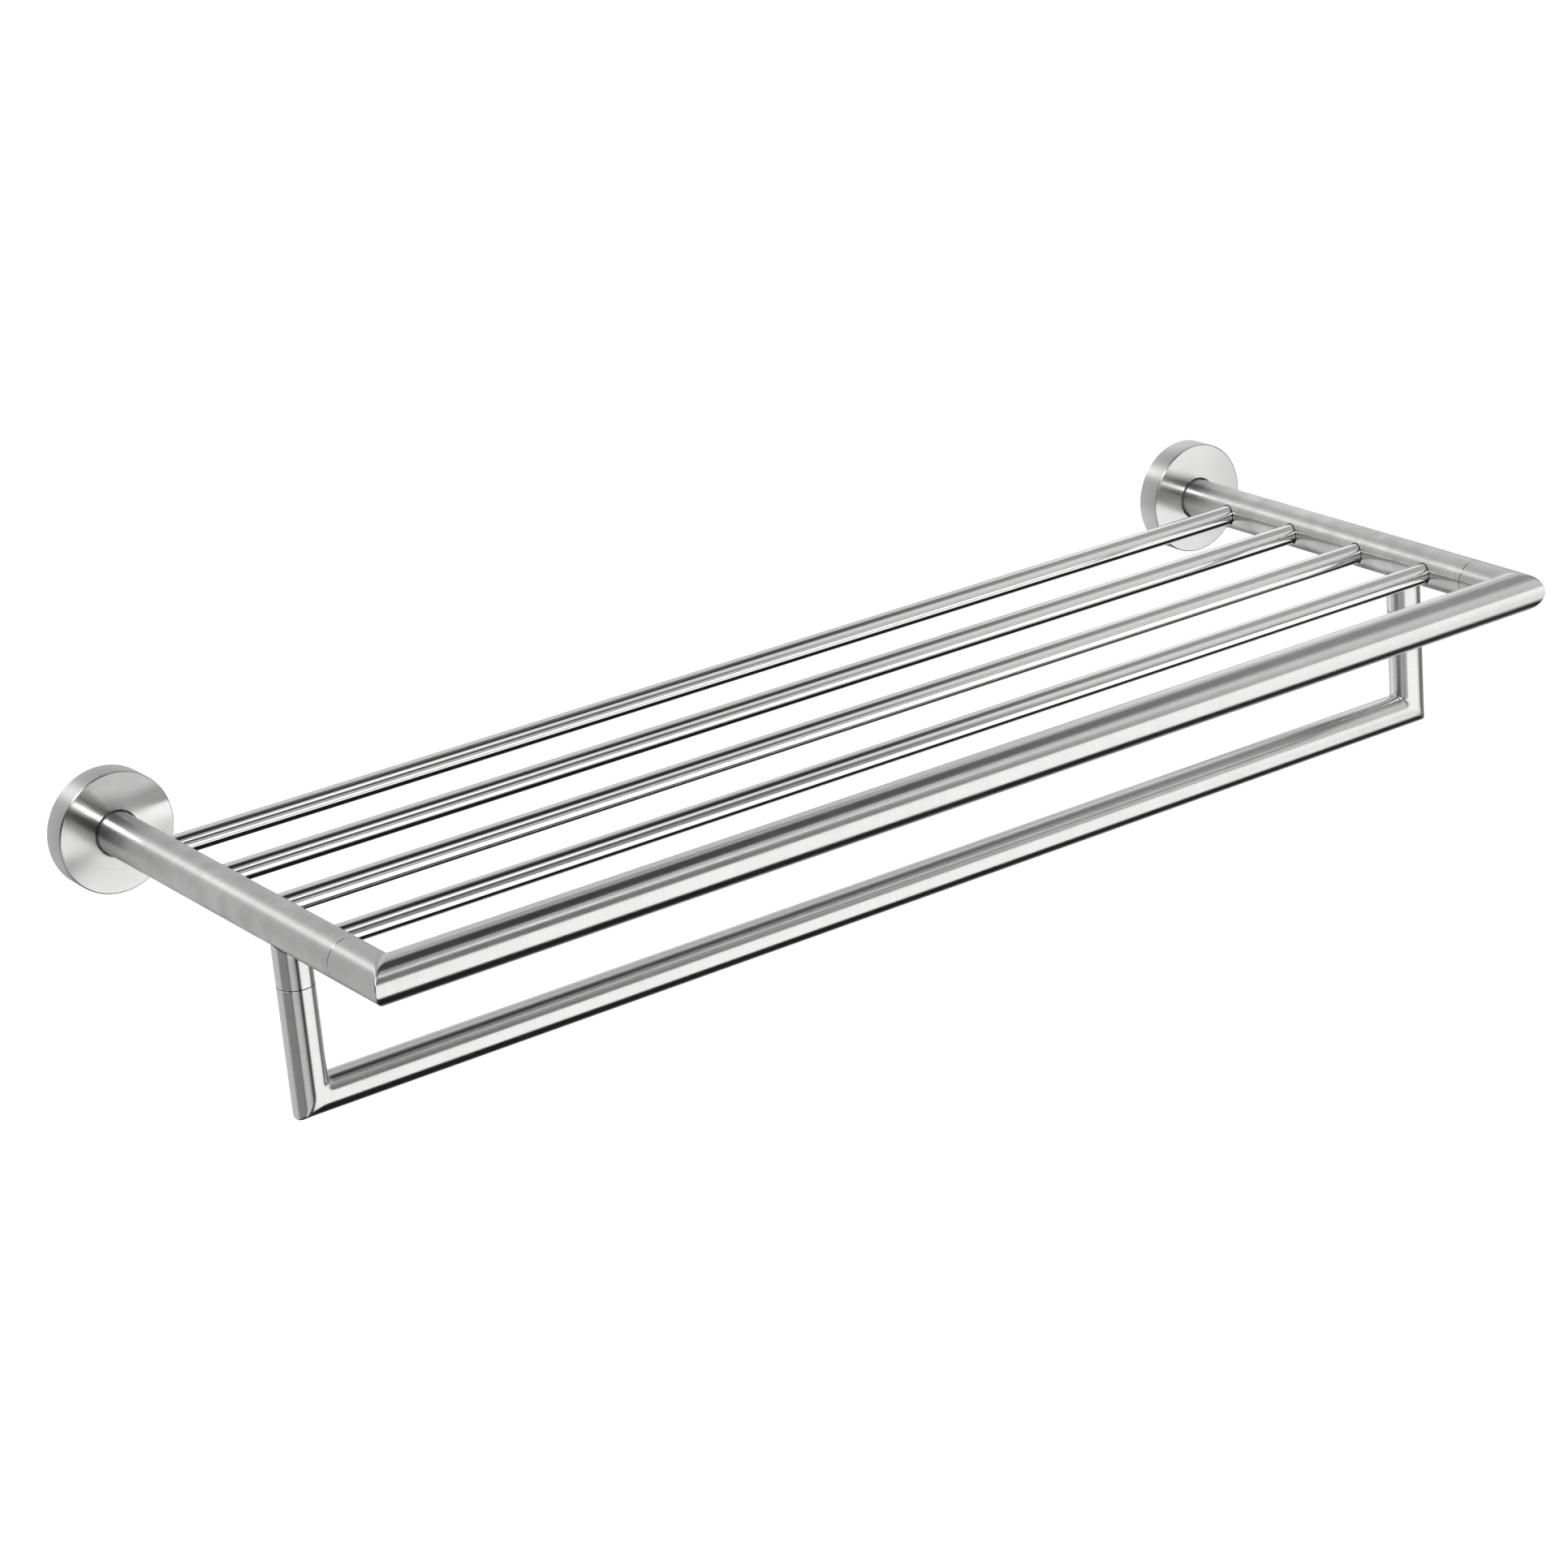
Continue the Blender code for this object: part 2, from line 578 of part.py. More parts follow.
front = front_rail()
rail = towel_rail()
shelf_bars()
side_pieces("left", RIGHT, front, rail)
side_pieces("right", LEFT, front, rail)
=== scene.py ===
# %% [markdown]
# # A wall-mounted towel rack in stainless tube
#
# The rack is a shelf of four thin bars between two arms, with a mitred front rail and a U-shaped
# towel rail hung below it. Almost every piece is round, so the lesson is about three things:
# sweeping rings into tubes and turned parts, giving bare steel its grain, and lighting a metal,
# which shows nothing but what it reflects.
#
# The CAD model comes first. It is the fixed frame: every visible piece takes the place of one CAD
# node, and the hidden ones stay as they are.

# %% Load the frame
import json
import math

import bmesh
import bpy
from mathutils import Matrix, Vector


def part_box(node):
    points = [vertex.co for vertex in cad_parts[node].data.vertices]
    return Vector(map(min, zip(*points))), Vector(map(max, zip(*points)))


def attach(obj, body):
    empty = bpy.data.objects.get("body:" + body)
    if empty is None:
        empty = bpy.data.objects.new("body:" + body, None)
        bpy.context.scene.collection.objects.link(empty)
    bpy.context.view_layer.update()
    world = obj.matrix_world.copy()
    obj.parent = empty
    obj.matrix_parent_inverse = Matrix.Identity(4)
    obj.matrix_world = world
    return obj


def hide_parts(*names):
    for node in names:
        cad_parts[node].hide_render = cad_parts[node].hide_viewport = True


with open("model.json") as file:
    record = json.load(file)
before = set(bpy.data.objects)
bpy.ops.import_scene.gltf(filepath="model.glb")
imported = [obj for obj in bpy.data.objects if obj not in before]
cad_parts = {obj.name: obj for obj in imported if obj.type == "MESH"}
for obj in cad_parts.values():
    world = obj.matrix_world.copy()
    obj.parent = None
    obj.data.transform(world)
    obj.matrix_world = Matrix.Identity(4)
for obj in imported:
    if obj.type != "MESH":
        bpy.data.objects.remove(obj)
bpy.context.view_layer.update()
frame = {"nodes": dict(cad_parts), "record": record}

# %% [markdown]
# ## Sizes
#
# Lengths are in metres. X runs along the rails to the right, Y into the wall and Z up, with the
# origin on the wall midway between the arms. The places of the long pieces are read from the CAD
# nodes, so they can't drift from it. Radii and walls are stock sizes of tube.

# %% Sizes of the tubes and places of their axes
MM = 0.001
BACK, UP = Vector((0, 1, 0)), Vector((0, 0, 1))
OUT, DOWN = -BACK, -UP  # OUT is out of the wall, towards the room
SIDES = (("left", -1), ("right", 1))

FRAME_RADIUS, FRAME_WALL = 9.5 * MM, 1.2 * MM  # arms and front rail
RAIL_RADIUS, RAIL_WALL = 8 * MM, 1.2 * MM  # towel rail and its stubs
BAR_RADIUS, BAR_WALL = 4.75 * MM, 1 * MM  # shelf bars
SEAT_GAP = 0.3 * MM  # between pieces that touch on the real rack


def middle(node):
    low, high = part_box(node)
    return (low + high) / 2


ARM_X = middle("right_arm").x
FRONT_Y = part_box("front_rail")[0].y + FRAME_RADIUS
ARM_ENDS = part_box("right_arm")[1].y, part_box("right_arm")[0].y  # at the wall, at the seam
RETURN_END_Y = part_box("front_rail")[1].y
RAIL_Y = middle("towel_rail").y
RAIL_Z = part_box("towel_rail")[0].z + RAIL_RADIUS
LEG_TOP_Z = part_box("towel_rail")[1].z
STUB_END_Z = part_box("right_drop_stub")[0].z
BAR_Y = [middle(f"shelf_bar_{i}").y for i in (1, 2, 3, 4)]
BAR_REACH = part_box("shelf_bar_1")[1].x
print("arms at x", round(ARM_X, 4), "front rail at y", round(FRONT_Y, 4))
print("towel rail at y, z", round(RAIL_Y, 4), round(RAIL_Z, 4), "bars at y", [round(y, 4) for y in BAR_Y])

# %% [markdown]
# ## Trees of nodes
#
# Shapes and finishes both come from trees of nodes. A few helpers keep their code short.

# %% Nodes and trees
def feed(tree, node, inputs):
    """Give each named or numbered input its value, or link the socket that feeds it."""
    for name, value in dict(inputs).items():
        if isinstance(value, bpy.types.NodeSocket):
            tree.links.new(value, node.inputs[name])
        else:
            node.inputs[name].default_value = value
    return node


def new_node(tree, kind, inputs=(), **settings):
    node = tree.nodes.new(kind)
    for name, value in settings.items():
        setattr(node, name, value)
    return feed(tree, node, inputs)


def maths(tree, operation, *values, clamp=False):
    node = new_node(tree, "ShaderNodeMath", enumerate(values), operation=operation, use_clamp=clamp)
    return node.outputs[0]


def vector_maths(tree, operation, first, second):
    """A sum of two vectors, or a vector scaled by a number."""
    inputs = {0: first, "Scale" if operation == "SCALE" else 1: second}
    return new_node(tree, "ShaderNodeVectorMath", inputs, operation=operation).outputs["Vector"]


def open_tree(name, inputs, output=("Shape", "Geometry"), kind="GeometryNodeTree"):
    """A tree with inputs given as {label: type}, what comes in, and its last node."""
    tree = bpy.data.node_groups.new(name, kind)
    for way, sockets in (("INPUT", inputs.items()), ("OUTPUT", [output])):
        for label, socket_type in sockets:
            tree.interface.new_socket(label, in_out=way, socket_type=f"NodeSocket{socket_type}")
    return tree, new_node(tree, "NodeGroupInput").outputs, new_node(tree, "NodeGroupOutput")


def end_shape(tree, geometry, finish, go_out):
    """End a tree that makes a shape. Instances are made real, because the export drops them."""
    real = new_node(tree, "GeometryNodeRealizeInstances", {"Geometry": geometry})
    dressed = new_node(tree, "GeometryNodeSetMaterial", {"Geometry": real.outputs[0], "Material": finish})
    feed(tree, go_out, {"Shape": dressed.outputs[0]})
    print(f"{tree.name}: {len(tree.nodes)} nodes")
    return tree


# %% [markdown]
# ## One tree for everything round
#
# A tube, a rosette and a screw are all stacks of rings. A ring has a centre, a radius and two
# directions that it is drawn along, `lean` and `across`. Where both are square to the tube it is a
# plain ring. Where `lean` is longer and slanted, the ring lies on the mitre plane of a corner.
#
# Geometry Nodes make them with little code. A line with one point for each ring carries the table as
# attributes, Curve to Mesh lays a circle at each point, and Set Position moves every circle to
# where its row says. The line itself only has to keep its points apart.

# %% Build the ring tree
RING_VALUES = {"centre": "FLOAT_VECTOR", "lean": "FLOAT_VECTOR", "across": "FLOAT_VECTOR",
               "radius_of_ring": "FLOAT"}
WELD_DISTANCE = 0.002 * MM


def ring_tree():
    inputs = {"Rings": "Geometry", "Sides": "Int", "Finish": "Material"}
    tree, come_in, go_out = open_tree("Stack of rings", inputs)
    line = new_node(tree, "GeometryNodeMeshToCurve", {"Mesh": come_in["Rings"]})

    # The circle keeps its own place as an attribute, so that each point knows its angle.
    circle = new_node(tree, "GeometryNodeCurvePrimitiveCircle",
                      {"Radius": 1, "Resolution": come_in["Sides"]}, mode="RADIUS")
    place = new_node(tree, "GeometryNodeInputPosition").outputs[0]
    turn = new_node(tree, "GeometryNodeStoreNamedAttribute",
                    {"Name": "turn", "Geometry": circle.outputs["Curve"], "Value": place},
                    data_type="FLOAT_VECTOR", domain="POINT")
    sweep = new_node(tree, "GeometryNodeCurveToMesh", {
        "Fill Caps": False, "Curve": line.outputs["Curve"], "Profile Curve": turn.outputs["Geometry"]})

    read = {}
    for name, kind in {**RING_VALUES, "turn": "FLOAT_VECTOR"}.items():
        node = new_node(tree, "GeometryNodeInputNamedAttribute", {"Name": name}, data_type=kind)
        read[name] = node.outputs["Attribute"]
    angle = new_node(tree, "ShaderNodeSeparateXYZ", {0: read["turn"]}).outputs
    along_lean = vector_maths(tree, "SCALE", read["lean"], angle["X"])
    along_across = vector_maths(tree, "SCALE", read["across"], angle["Y"])
    spoke = vector_maths(tree, "ADD", along_lean, along_across)
    spoke = vector_maths(tree, "SCALE", spoke, read["radius_of_ring"])
    moved = new_node(tree, "GeometryNodeSetPosition", {
        "Geometry": sweep.outputs["Mesh"], "Position": vector_maths(tree, "ADD", read["centre"], spoke)})

    # Rings of no radius are the poles of solid pieces. Welding makes each of them one point.
    weld = new_node(tree, "GeometryNodeMergeByDistance",
                    {"Geometry": moved.outputs["Geometry"], "Distance": WELD_DISTANCE})
    return end_shape(tree, weld.outputs["Geometry"], come_in["Finish"], go_out)


RING_TREE = ring_tree()

# %% [markdown]
# A modifier's inputs go by the socket's identifier, so a helper looks them up by name.
# `new_from_object` then turns the result into a plain mesh, and the modifier goes away with its
# object. Values stored at each point carry the table in and, later, what a finish needs to know.

# %% Run a tree and keep its result as a mesh
MATERIALS = {}  # the finishes by slot, made further down


def add_object(name, data):
    made = bpy.data.objects.new(name, data)
    bpy.context.scene.collection.objects.link(made)
    return made


def keep_mesh(holder):
    """What the object's modifiers make of it, as a plain mesh. The object goes away."""
    graph = bpy.context.evaluated_depsgraph_get()
    made = bpy.data.meshes.new_from_object(holder.evaluated_get(graph))
    bpy.data.objects.remove(holder, do_unlink=True)
    return made


def run_tree(tree, mesh, **values):
    holder = add_object("holder", mesh)
    modifier = holder.modifiers.new("tree", "NODES")
    modifier.node_group = tree
    sockets = {item.name: item.identifier for item in tree.interface.items_tree if item.in_out == "INPUT"}
    for name, value in values.items():
        modifier[sockets[name]] = value
    return keep_mesh(holder)


def store(mesh, name, values, kind="FLOAT"):
    """Store a number or a vector for each point of a mesh."""
    attribute = mesh.attributes.new(name, kind, "POINT")
    for item, value in zip(attribute.data, values):
        setattr(item, "value" if kind == "FLOAT" else "vector", value)


def face_outwards(mesh):
    tidy = bmesh.new()
    tidy.from_mesh(mesh)
    bmesh.ops.recalc_face_normals(tidy, faces=tidy.faces)
    tidy.to_mesh(mesh)
    tidy.free()
    return mesh


def sweep_rings(rows, sides, slot, closed):
    """A mesh from rows of rings. A closed table comes back to its first ring, as a shell with a wall."""
    count = len(rows)
    line = bpy.data.meshes.new("rings")
    edges = [(i, i + 1) for i in range(count - 1)] + ([(count - 1, 0)] if closed else [])
    turn = math.tau / count
    line.from_pydata([(math.cos(i * turn), math.sin(i * turn), 0) for i in range(count)], edges, [])
    for (name, kind), values in zip(RING_VALUES.items(), zip(*rows)):
        store(line, name, values, kind)
    made = face_outwards(run_tree(RING_TREE, line, Sides=sides, Finish=MATERIALS[slot]))
    for name in (*RING_VALUES, "turn"):
        made.attributes.remove(made.attributes[name])
    return made


# %% [markdown]
# ## Tubes with mitred corners
#
# The rails are bent from nothing: two tubes are sawn at 45 degrees, welded and ground flush, which
# leaves a fold that is crisp on the outside of the corner and runs out to nothing on its sides.
# The rings at a corner lie on the mitre plane. A few of them, on a small curve, round the fold by a
# fraction of a millimetre, as the belt did. Rings next to it keep the long straight faces clean.
#
# The table runs along the outside, over a small chamfer at the end, back along the bore and over
# the other chamfer, where it closes. So the tube has a real wall.

# %% Tube ring tables
FOLD = 0.55 * MM  # how far the rounding of a fold reaches from the mitre plane
FOLD_STEPS = 4
FOLD_RINGS = (2, 3, 4.5, 6, 8, 10)  # places of the rings beside it, as multiples of that reach
FOLD_CLEAR = 3  # radii on each side of a corner without evenly spaced rings
END_CHAMFER = 0.10 * MM
END_BAND = 0.5 * MM  # from a chamfer to the next ring, so that the wear on the edge stays narrow
RING_SPACING = 6 * MM
UPRIGHT = 0.5  # an axis with more of Z than this can't have Z as a direction across it


def runs_of(corners):
    return [(b - a).normalized() for a, b in zip(corners, corners[1:])]


def square_to(axis):
    return axis.orthogonal().normalized() if abs(axis.z) > UPRIGHT else UP.copy()


def plane_normal(corners):
    """The direction square to the plane of a bent path, or any one square to a straight path."""
    runs = runs_of(corners)
    return runs[0].cross(runs[1]).normalized() if len(runs) > 1 else square_to(runs[0])


def path_rings(corners, radius, turn, fold, spacing):
    """Rings along one skin of the tube. The chamfers at its ends draw it in by turn."""
    across, runs = plane_normal(corners), runs_of(corners)
    leans = [run.cross(across) for run in runs]
    ends = [(0, radius - turn), (END_CHAMFER, radius), (END_CHAMFER + END_BAND, radius)]
    rows = [(corners[0] + runs[0] * along, leans[0], across, size) for along, size in ends]
    beside = [(share, 0) for share in FOLD_RINGS[::-1]]
    beside += [((1 - step / FOLD_STEPS) ** 2, (step / FOLD_STEPS) ** 2) for step in range(FOLD_STEPS + 1)]
    beside += [(0, share) for share in FOLD_RINGS]
    for i, run in enumerate(runs):
        start, end = corners[i], corners[i + 1]
        length, clear = (end - start).length, FOLD_CLEAR * radius
        steps = max(2, int(length / spacing))
        for step in range(1, steps):
            before, after = step / steps * length, (1 - step / steps) * length
            if (i == 0 or before > clear) and (i == len(runs) - 1 or after > clear):
                rows.append((start + run * before, leans[i], across, radius))
        if i < len(runs) - 1:
            ahead = runs[i + 1]
            slant = (leans[i] + leans[i + 1]) / (1 + run.dot(ahead))
            for back, forth in beside if fold else [(0, 0)]:
                rows.append((end - run * fold * back + ahead * fold * forth, slant, across, radius))
    rows += [(corners[-1] - runs[-1] * along, leans[-1], across, size) for along, size in ends[::-1]]
    return rows


def tube(corners, radius, wall, sides, slot, fold=FOLD, spacing=RING_SPACING):
    """A tube along straight runs, closed over both ends."""
    skin = path_rings(corners, radius, END_CHAMFER, fold, spacing)
    bore = path_rings(corners, radius - wall, -END_CHAMFER, 0, spacing)
    return sweep_rings(skin + bore[::-1], sides, slot, closed=True)


# %% [markdown]
# ## What a finish needs to know
#
# Steel is ground while it turns, so its grain runs in rings round every tube and every turned part.
# Two attributes tell the material about it. `grain` points square to the scratches, which is the way
# that a highlight is drawn out. `skin` is the place on the surface: how far along the piece, and
# where round it. `edge` is one on sharp edges and fades at the next ring, for metal that handling
# has rubbed bright. A last one, on two kinds of piece, says where the finish is duller; it also
# darkens the colour there, which on the rosettes' rims is painted shade.

# %% Mark a mesh for its finish
SHARP_ANGLE = math.radians(28)
FACE_SHARE = 0.6  # how much of the axis is in the grain direction, so that flat ends have one too
ON_AXIS = 1e-6


def mark(mesh, corners, offset=0.0):
    """Store grain, skin and edge on a mesh that is round about a path of straight runs."""
    runs, across = runs_of(corners), plane_normal(corners)
    lengths = [(b - a).length for a, b in zip(corners, corners[1:])]
    grain, skin = [], []
    for vertex in mesh.vertices:
        place, run = vertex.co, 0
        while run < len(runs) - 1 and (place - corners[run + 1]).dot(runs[run] + runs[run + 1]) >= 0:
            run += 1
        axis = runs[run]
        along = (place - corners[run]).dot(axis)
        spoke = place - corners[run] - axis * along
        radial = (spoke if spoke.length > ON_AXIS else axis.orthogonal()).normalized()
        grain.append((radial - axis * FACE_SHARE).normalized())
        travel = sum(lengths[:run]) + along + spoke.length + offset
        skin.append((travel, spoke.dot(axis.cross(across)), spoke.dot(across)))
    store(mesh, "grain", grain, "FLOAT_VECTOR")
    store(mesh, "skin", skin, "FLOAT_VECTOR")
    mesh.shade_smooth()
    mesh.set_sharp_from_angle(angle=SHARP_ANGLE)
    edge, sharp = [0.0] * len(mesh.vertices), mesh.attributes.get("sharp_edge")
    for item, line in zip(sharp.data if sharp else (), mesh.edges):
        if item.value:
            for i in line.vertices:
                edge[i] = 1.0
    store(mesh, "edge", edge)


# %% [markdown]
# The belt also blurred the fold where it is shallow, on the tube's top and underside. That is a
# matter of hundredths of a millimetre, so it goes into the normals: each is mixed with its mirror
# image in the mitre plane, over a reach that grows as the fold gets shallow.

# %% Dress the folds
NEAR_SKIN = 0.05  # share of the radius, which leaves out the bore
CHAMFER_TILT = 0.62  # a face that looks along the tube by more than this is a chamfer
DRESSED = 5 * MM  # how far the belt blurred a fold at most


def dress_folds(mesh, corners, radius, fold):
    """Write exact normals on the outer skin, mixed across each fold."""
    runs = runs_of(corners)
    folds = list(zip(corners[1:], runs, runs[1:]))
    normals = [tuple(corner.vector) for corner in mesh.corner_normals]
    for face in mesh.polygons:
        bend, before, after = min(folds, key=lambda item: (face.center - item[0]).length)
        mirror = (before + after).normalized()
        axis = before if (face.center - bend).dot(mirror) < 0 else after
        mixed = []
        for i in face.vertices:
            spoke = mesh.vertices[i].co - bend
            off = abs(spoke.dot(mirror)) / axis.dot(mirror)
            spoke -= axis * spoke.dot(axis)
            off_skin = abs(spoke.length - radius) > radius * NEAR_SKIN
            if off_skin or abs(face.normal.dot(axis)) > CHAMFER_TILT:
                break
            own = spoke.normalized()
            image = own - 2 * own.dot(mirror) * mirror
            share = min(off / (fold + (DRESSED - fold) * own.dot(image) ** 2), 1)
            mixed.append(own.lerp(image, 0.5 - share ** 2 * (1.5 - share)).normalized())
        else:
            for corner, normal in zip(face.loop_indices, mixed):
                normals[corner] = tuple(normal)
    mesh.normals_split_custom_set(normals)


# %% [markdown]
# A finished piece is an object at the origin with its place in its mesh, as the CAD nodes are. It
# rides on the frame's only body, hides the node that it stands for and names its finish.

# %% Add a finished piece
PIECES = {}


def add_piece(name, mesh, slot, node):
    piece = add_object(name, mesh)
    mesh.materials.clear()
    mesh.materials.append(MATERIALS[slot])
    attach(piece, "root")
    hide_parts(node)
    PIECES[name] = node
    print(f"{name}: {len(mesh.polygons)} faces")


# %% [markdown]
# ## Shader groups that the finishes share
#
# Ground steel shows fine scratches that run round the piece. The first group stretches noise along
# them: close together along the piece, long drawn round it. Two layers, one fine and one coarse,
# give scratches of different depth.

# %% Grain group
GRAIN_LAYERS = ((1.0, 2.0), (0.22, 3.0))  # share of the scratches per metre, detail of the noise
COARSE_SHARE = 0.4  # of the second layer in the scratches' height


def noise(tree, vector, detail, roughness):
    inputs = {"Vector": vector, "Scale": 1.0, "Detail": detail, "Roughness": roughness}
    return new_node(tree, "ShaderNodeTexNoise", inputs).outputs["Fac"]


def grain_group():
    inputs = {"Skin": "Vector", "Scratches per Metre": "Float", "Drawn Out": "Float"}
    group, come_in, go_out = open_tree("Ground grain", inputs, ("Height", "Float"), "ShaderNodeTree")
    split = new_node(group, "ShaderNodeSeparateXYZ", {0: come_in["Skin"]}).outputs
    layers = []
    for share, detail in GRAIN_LAYERS:
        across = maths(group, "MULTIPLY", come_in["Scratches per Metre"], share)
        along = maths(group, "DIVIDE", across, come_in["Drawn Out"])
        grown = {axis: maths(group, "MULTIPLY", split[axis], size)
                 for axis, size in zip("XYZ", (across, along, along))}
        join = new_node(group, "ShaderNodeCombineXYZ", grown)
        layers.append(noise(group, join.outputs[0], detail, 0.6))
    coarse = maths(group, "MULTIPLY", layers[1], COARSE_SHARE)
    feed(group, go_out, {"Height": maths(group, "MULTIPLY_ADD", layers[0], 1 - COARSE_SHARE, coarse)})
    return group


GRAIN = grain_group()

# %% [markdown]
# Handling leaves faint cloudy patches, where the satin has been polished or where a trace of grease
# dulls it. The group gives a slow, blotchy mask that the finishes add to roughness and take
# from colour.

# %% Cloud group
CLOUD_CONTRAST = 2.0


def cloud_group():
    inputs = {"Place": "Vector", "Patches per Metre": "Float"}
    group, come_in, go_out = open_tree("Cloudy patches", inputs, ("Mask", "Float"), "ShaderNodeTree")
    grown = vector_maths(group, "SCALE", come_in["Place"], come_in["Patches per Metre"])
    centred = maths(group, "SUBTRACT", noise(group, grown, 3.0, 0.55), 0.5)
    spread = maths(group, "MULTIPLY_ADD", centred, CLOUD_CONTRAST, 0.5, clamp=True)
    feed(group, go_out, {"Mask": spread})
    return group


CLOUDS = cloud_group()
print("groups:", [(group.name, len(group.nodes)) for group in (GRAIN, CLOUDS)])

# %% [markdown]
# ## The finishes
#
# All of them are bare steel: metallic, with a grey that barely leans to yellow. They differ in how
# rough they are, how strongly the grain draws the highlights out, and how even they are. Constant
# numbers sit on the shader's own sockets. Only what changes over the surface comes through nodes.

# %% Steel materials
EDGE_SHINE = 0.4  # share of the roughness that handling has taken off the edges
EDGE_LIGHT = 0.04  # how much lighter they are
DULLER, DULL_PAINTED_SHADE = 0.17, 0.16  # rougher where duller; darker colour there, as painted shade


def new_material(name):
    material = bpy.data.materials.new(name)
    material.use_nodes = True
    return material, material.node_tree


def add_up(tree, total, *terms):
    """A number and the products of pairs, summed in nodes."""
    for value, share in terms:
        total = maths(tree, "MULTIPLY_ADD", value, share, total)
    return total


def steel(slot, colour, roughness, drawn, scratches, bump, uneven, shown, patches=60.0, stretch=40.0,
          marked=True):
    """A ground steel. drawn is the anisotropy, bump the scratches' depth, shown how dark they look.

    A mesh that isn't marked, as a CAD node's, takes its scratches from Object coordinates.
    """
    MATERIALS[slot], tree = new_material(slot)
    skin, direction, edge, dull_and_shade = (new_node(tree, "ShaderNodeAttribute", attribute_name=name).outputs
                                   for name in ("skin", "grain", "edge", "dull_and_shade"))
    place = new_node(tree, "ShaderNodeTexCoord").outputs["Object"]
    grain = new_node(tree, "ShaderNodeGroup", {
        "Skin": skin["Vector"] if marked else place, "Scratches per Metre": scratches,
        "Drawn Out": stretch}, node_tree=GRAIN).outputs["Height"]
    clouds = new_node(tree, "ShaderNodeGroup", {"Place": place, "Patches per Metre": patches},
                      node_tree=CLOUDS).outputs["Mask"]
    scratch = maths(tree, "SUBTRACT", grain, 0.5)

    # Rougher where it is cloudy, scratched or dull, and less so on rubbed edges
    rough = add_up(tree, roughness - uneven / 2, (clouds, uneven), (scratch, uneven),
                   (dull_and_shade["Fac"], DULLER), (edge["Fac"], -EDGE_SHINE * roughness))
    # A little darker in the patches and the scratches, and where the finish is duller, which on the
    # rosettes' rims is painted shade; a little lighter on edges
    shade = add_up(tree, 1 + uneven * 0.3, (clouds, -uneven * 0.6), (scratch, shown),
                   (dull_and_shade["Fac"], -DULL_PAINTED_SHADE), (edge["Fac"], EDGE_LIGHT))
    relief = new_node(tree, "ShaderNodeBump", {"Distance": bump, "Strength": 1, "Height": grain})
    shader = feed(tree, tree.nodes["Principled BSDF"], {
        "Metallic": 1, "Anisotropic": drawn, "Roughness": rough, "Normal": relief.outputs["Normal"],
        "Base Color": vector_maths(tree, "SCALE", colour, shade)})
    if marked:
        feed(tree, shader, {"Tangent": direction["Vector"]})


# slot, colour, roughness, drawn, scratches per metre, bump, uneven, shown
steel("satin_arm", (0.60, 0.60, 0.595), 0.36, 0.75, 2600, 0.003 * MM, 0.16, 0.55, patches=75.0)
steel("satin_rail", (0.625, 0.625, 0.62), 0.23, 0.75, 2600, 0.001 * MM, 0.05, 0.20)
steel("bright_bar", (0.72, 0.72, 0.715), 0.12, 0.60, 3000, 0.0005 * MM, 0.03, 0.10)
steel("turned_rosette", (0.70, 0.70, 0.695), 0.21, 0.85, 3400, 0.0008 * MM, 0.05, 0.20)
steel("zinc_plated_steel", (0.56, 0.58, 0.61), 0.32, 0.0, 1800, 0.002 * MM, 0.12, 0.20, stretch=4.0)
steel("plain_steel", (0.50, 0.50, 0.49), 0.38, 0.0, 1500, 0.003 * MM, 0.10, 0.20, stretch=3.0,
      marked=False)
steel("dark_screw", (0.25, 0.25, 0.26), 0.34, 0.20, 2400, 0.002 * MM, 0.10, 0.20)
print("finishes:", sorted(MATERIALS))

# %% [markdown]
# ## Front rail
#
# The long tube and its two short returns are one welded piece, with its corners at the arms' axes.
# The belt left the returns a little duller than the long tube.

# %% Front rail
FRAME_SIDES = 96
RETURN_DULL = 0.6


def bent_path(top, corner):
    """Down one side, along X and up the other side, from the left."""
    flip = Vector((-1, 1, 1))
    return [top * flip, corner * flip, corner, top]


front_path = bent_path(Vector((ARM_X, RETURN_END_Y, 0)), Vector((ARM_X, FRONT_Y, 0)))
front_mesh = tube(front_path, FRAME_RADIUS, FRAME_WALL, FRAME_SIDES, "satin_rail")
mark(front_mesh, front_path)
dress_folds(front_mesh, front_path, FRAME_RADIUS, FOLD)
store(front_mesh, "dull_and_shade", [
    RETURN_DULL * (vertex.co.y - FRONT_Y > ARM_X - abs(vertex.co.x)) for vertex in front_mesh.vertices])
add_piece("front_rail_tube", front_mesh, "satin_rail", "front_rail")

# %% [markdown]
# ## Towel rail
#
# A towel hangs over this one. It is a U like the front rail, of thinner tube and with its legs
# upright, so the same function makes it from another path. Its corners were ground rounder, which a
# longer fold gives.

# %% Towel rail
RAIL_SIDES = 80
RAIL_FOLD = 1.1 * MM
rail_path = bent_path(Vector((ARM_X, RAIL_Y, LEG_TOP_Z)), Vector((ARM_X, RAIL_Y, RAIL_Z)))
rail_mesh = tube(rail_path, RAIL_RADIUS, RAIL_WALL, RAIL_SIDES, "satin_rail", fold=RAIL_FOLD)
mark(rail_mesh, rail_path)
dress_folds(rail_mesh, rail_path, RAIL_RADIUS, RAIL_FOLD)
add_piece("towel_rail_tube", rail_mesh, "satin_rail", "towel_rail")

# %% [markdown]
# ## Shelf bars
#
# Four thin bars carry the folded towels. They are polished tube, brighter than the frame, and alike,
# so a loop over their places makes all four. The offset starts the noise at another place on each,
# so that no two have the same scratches.

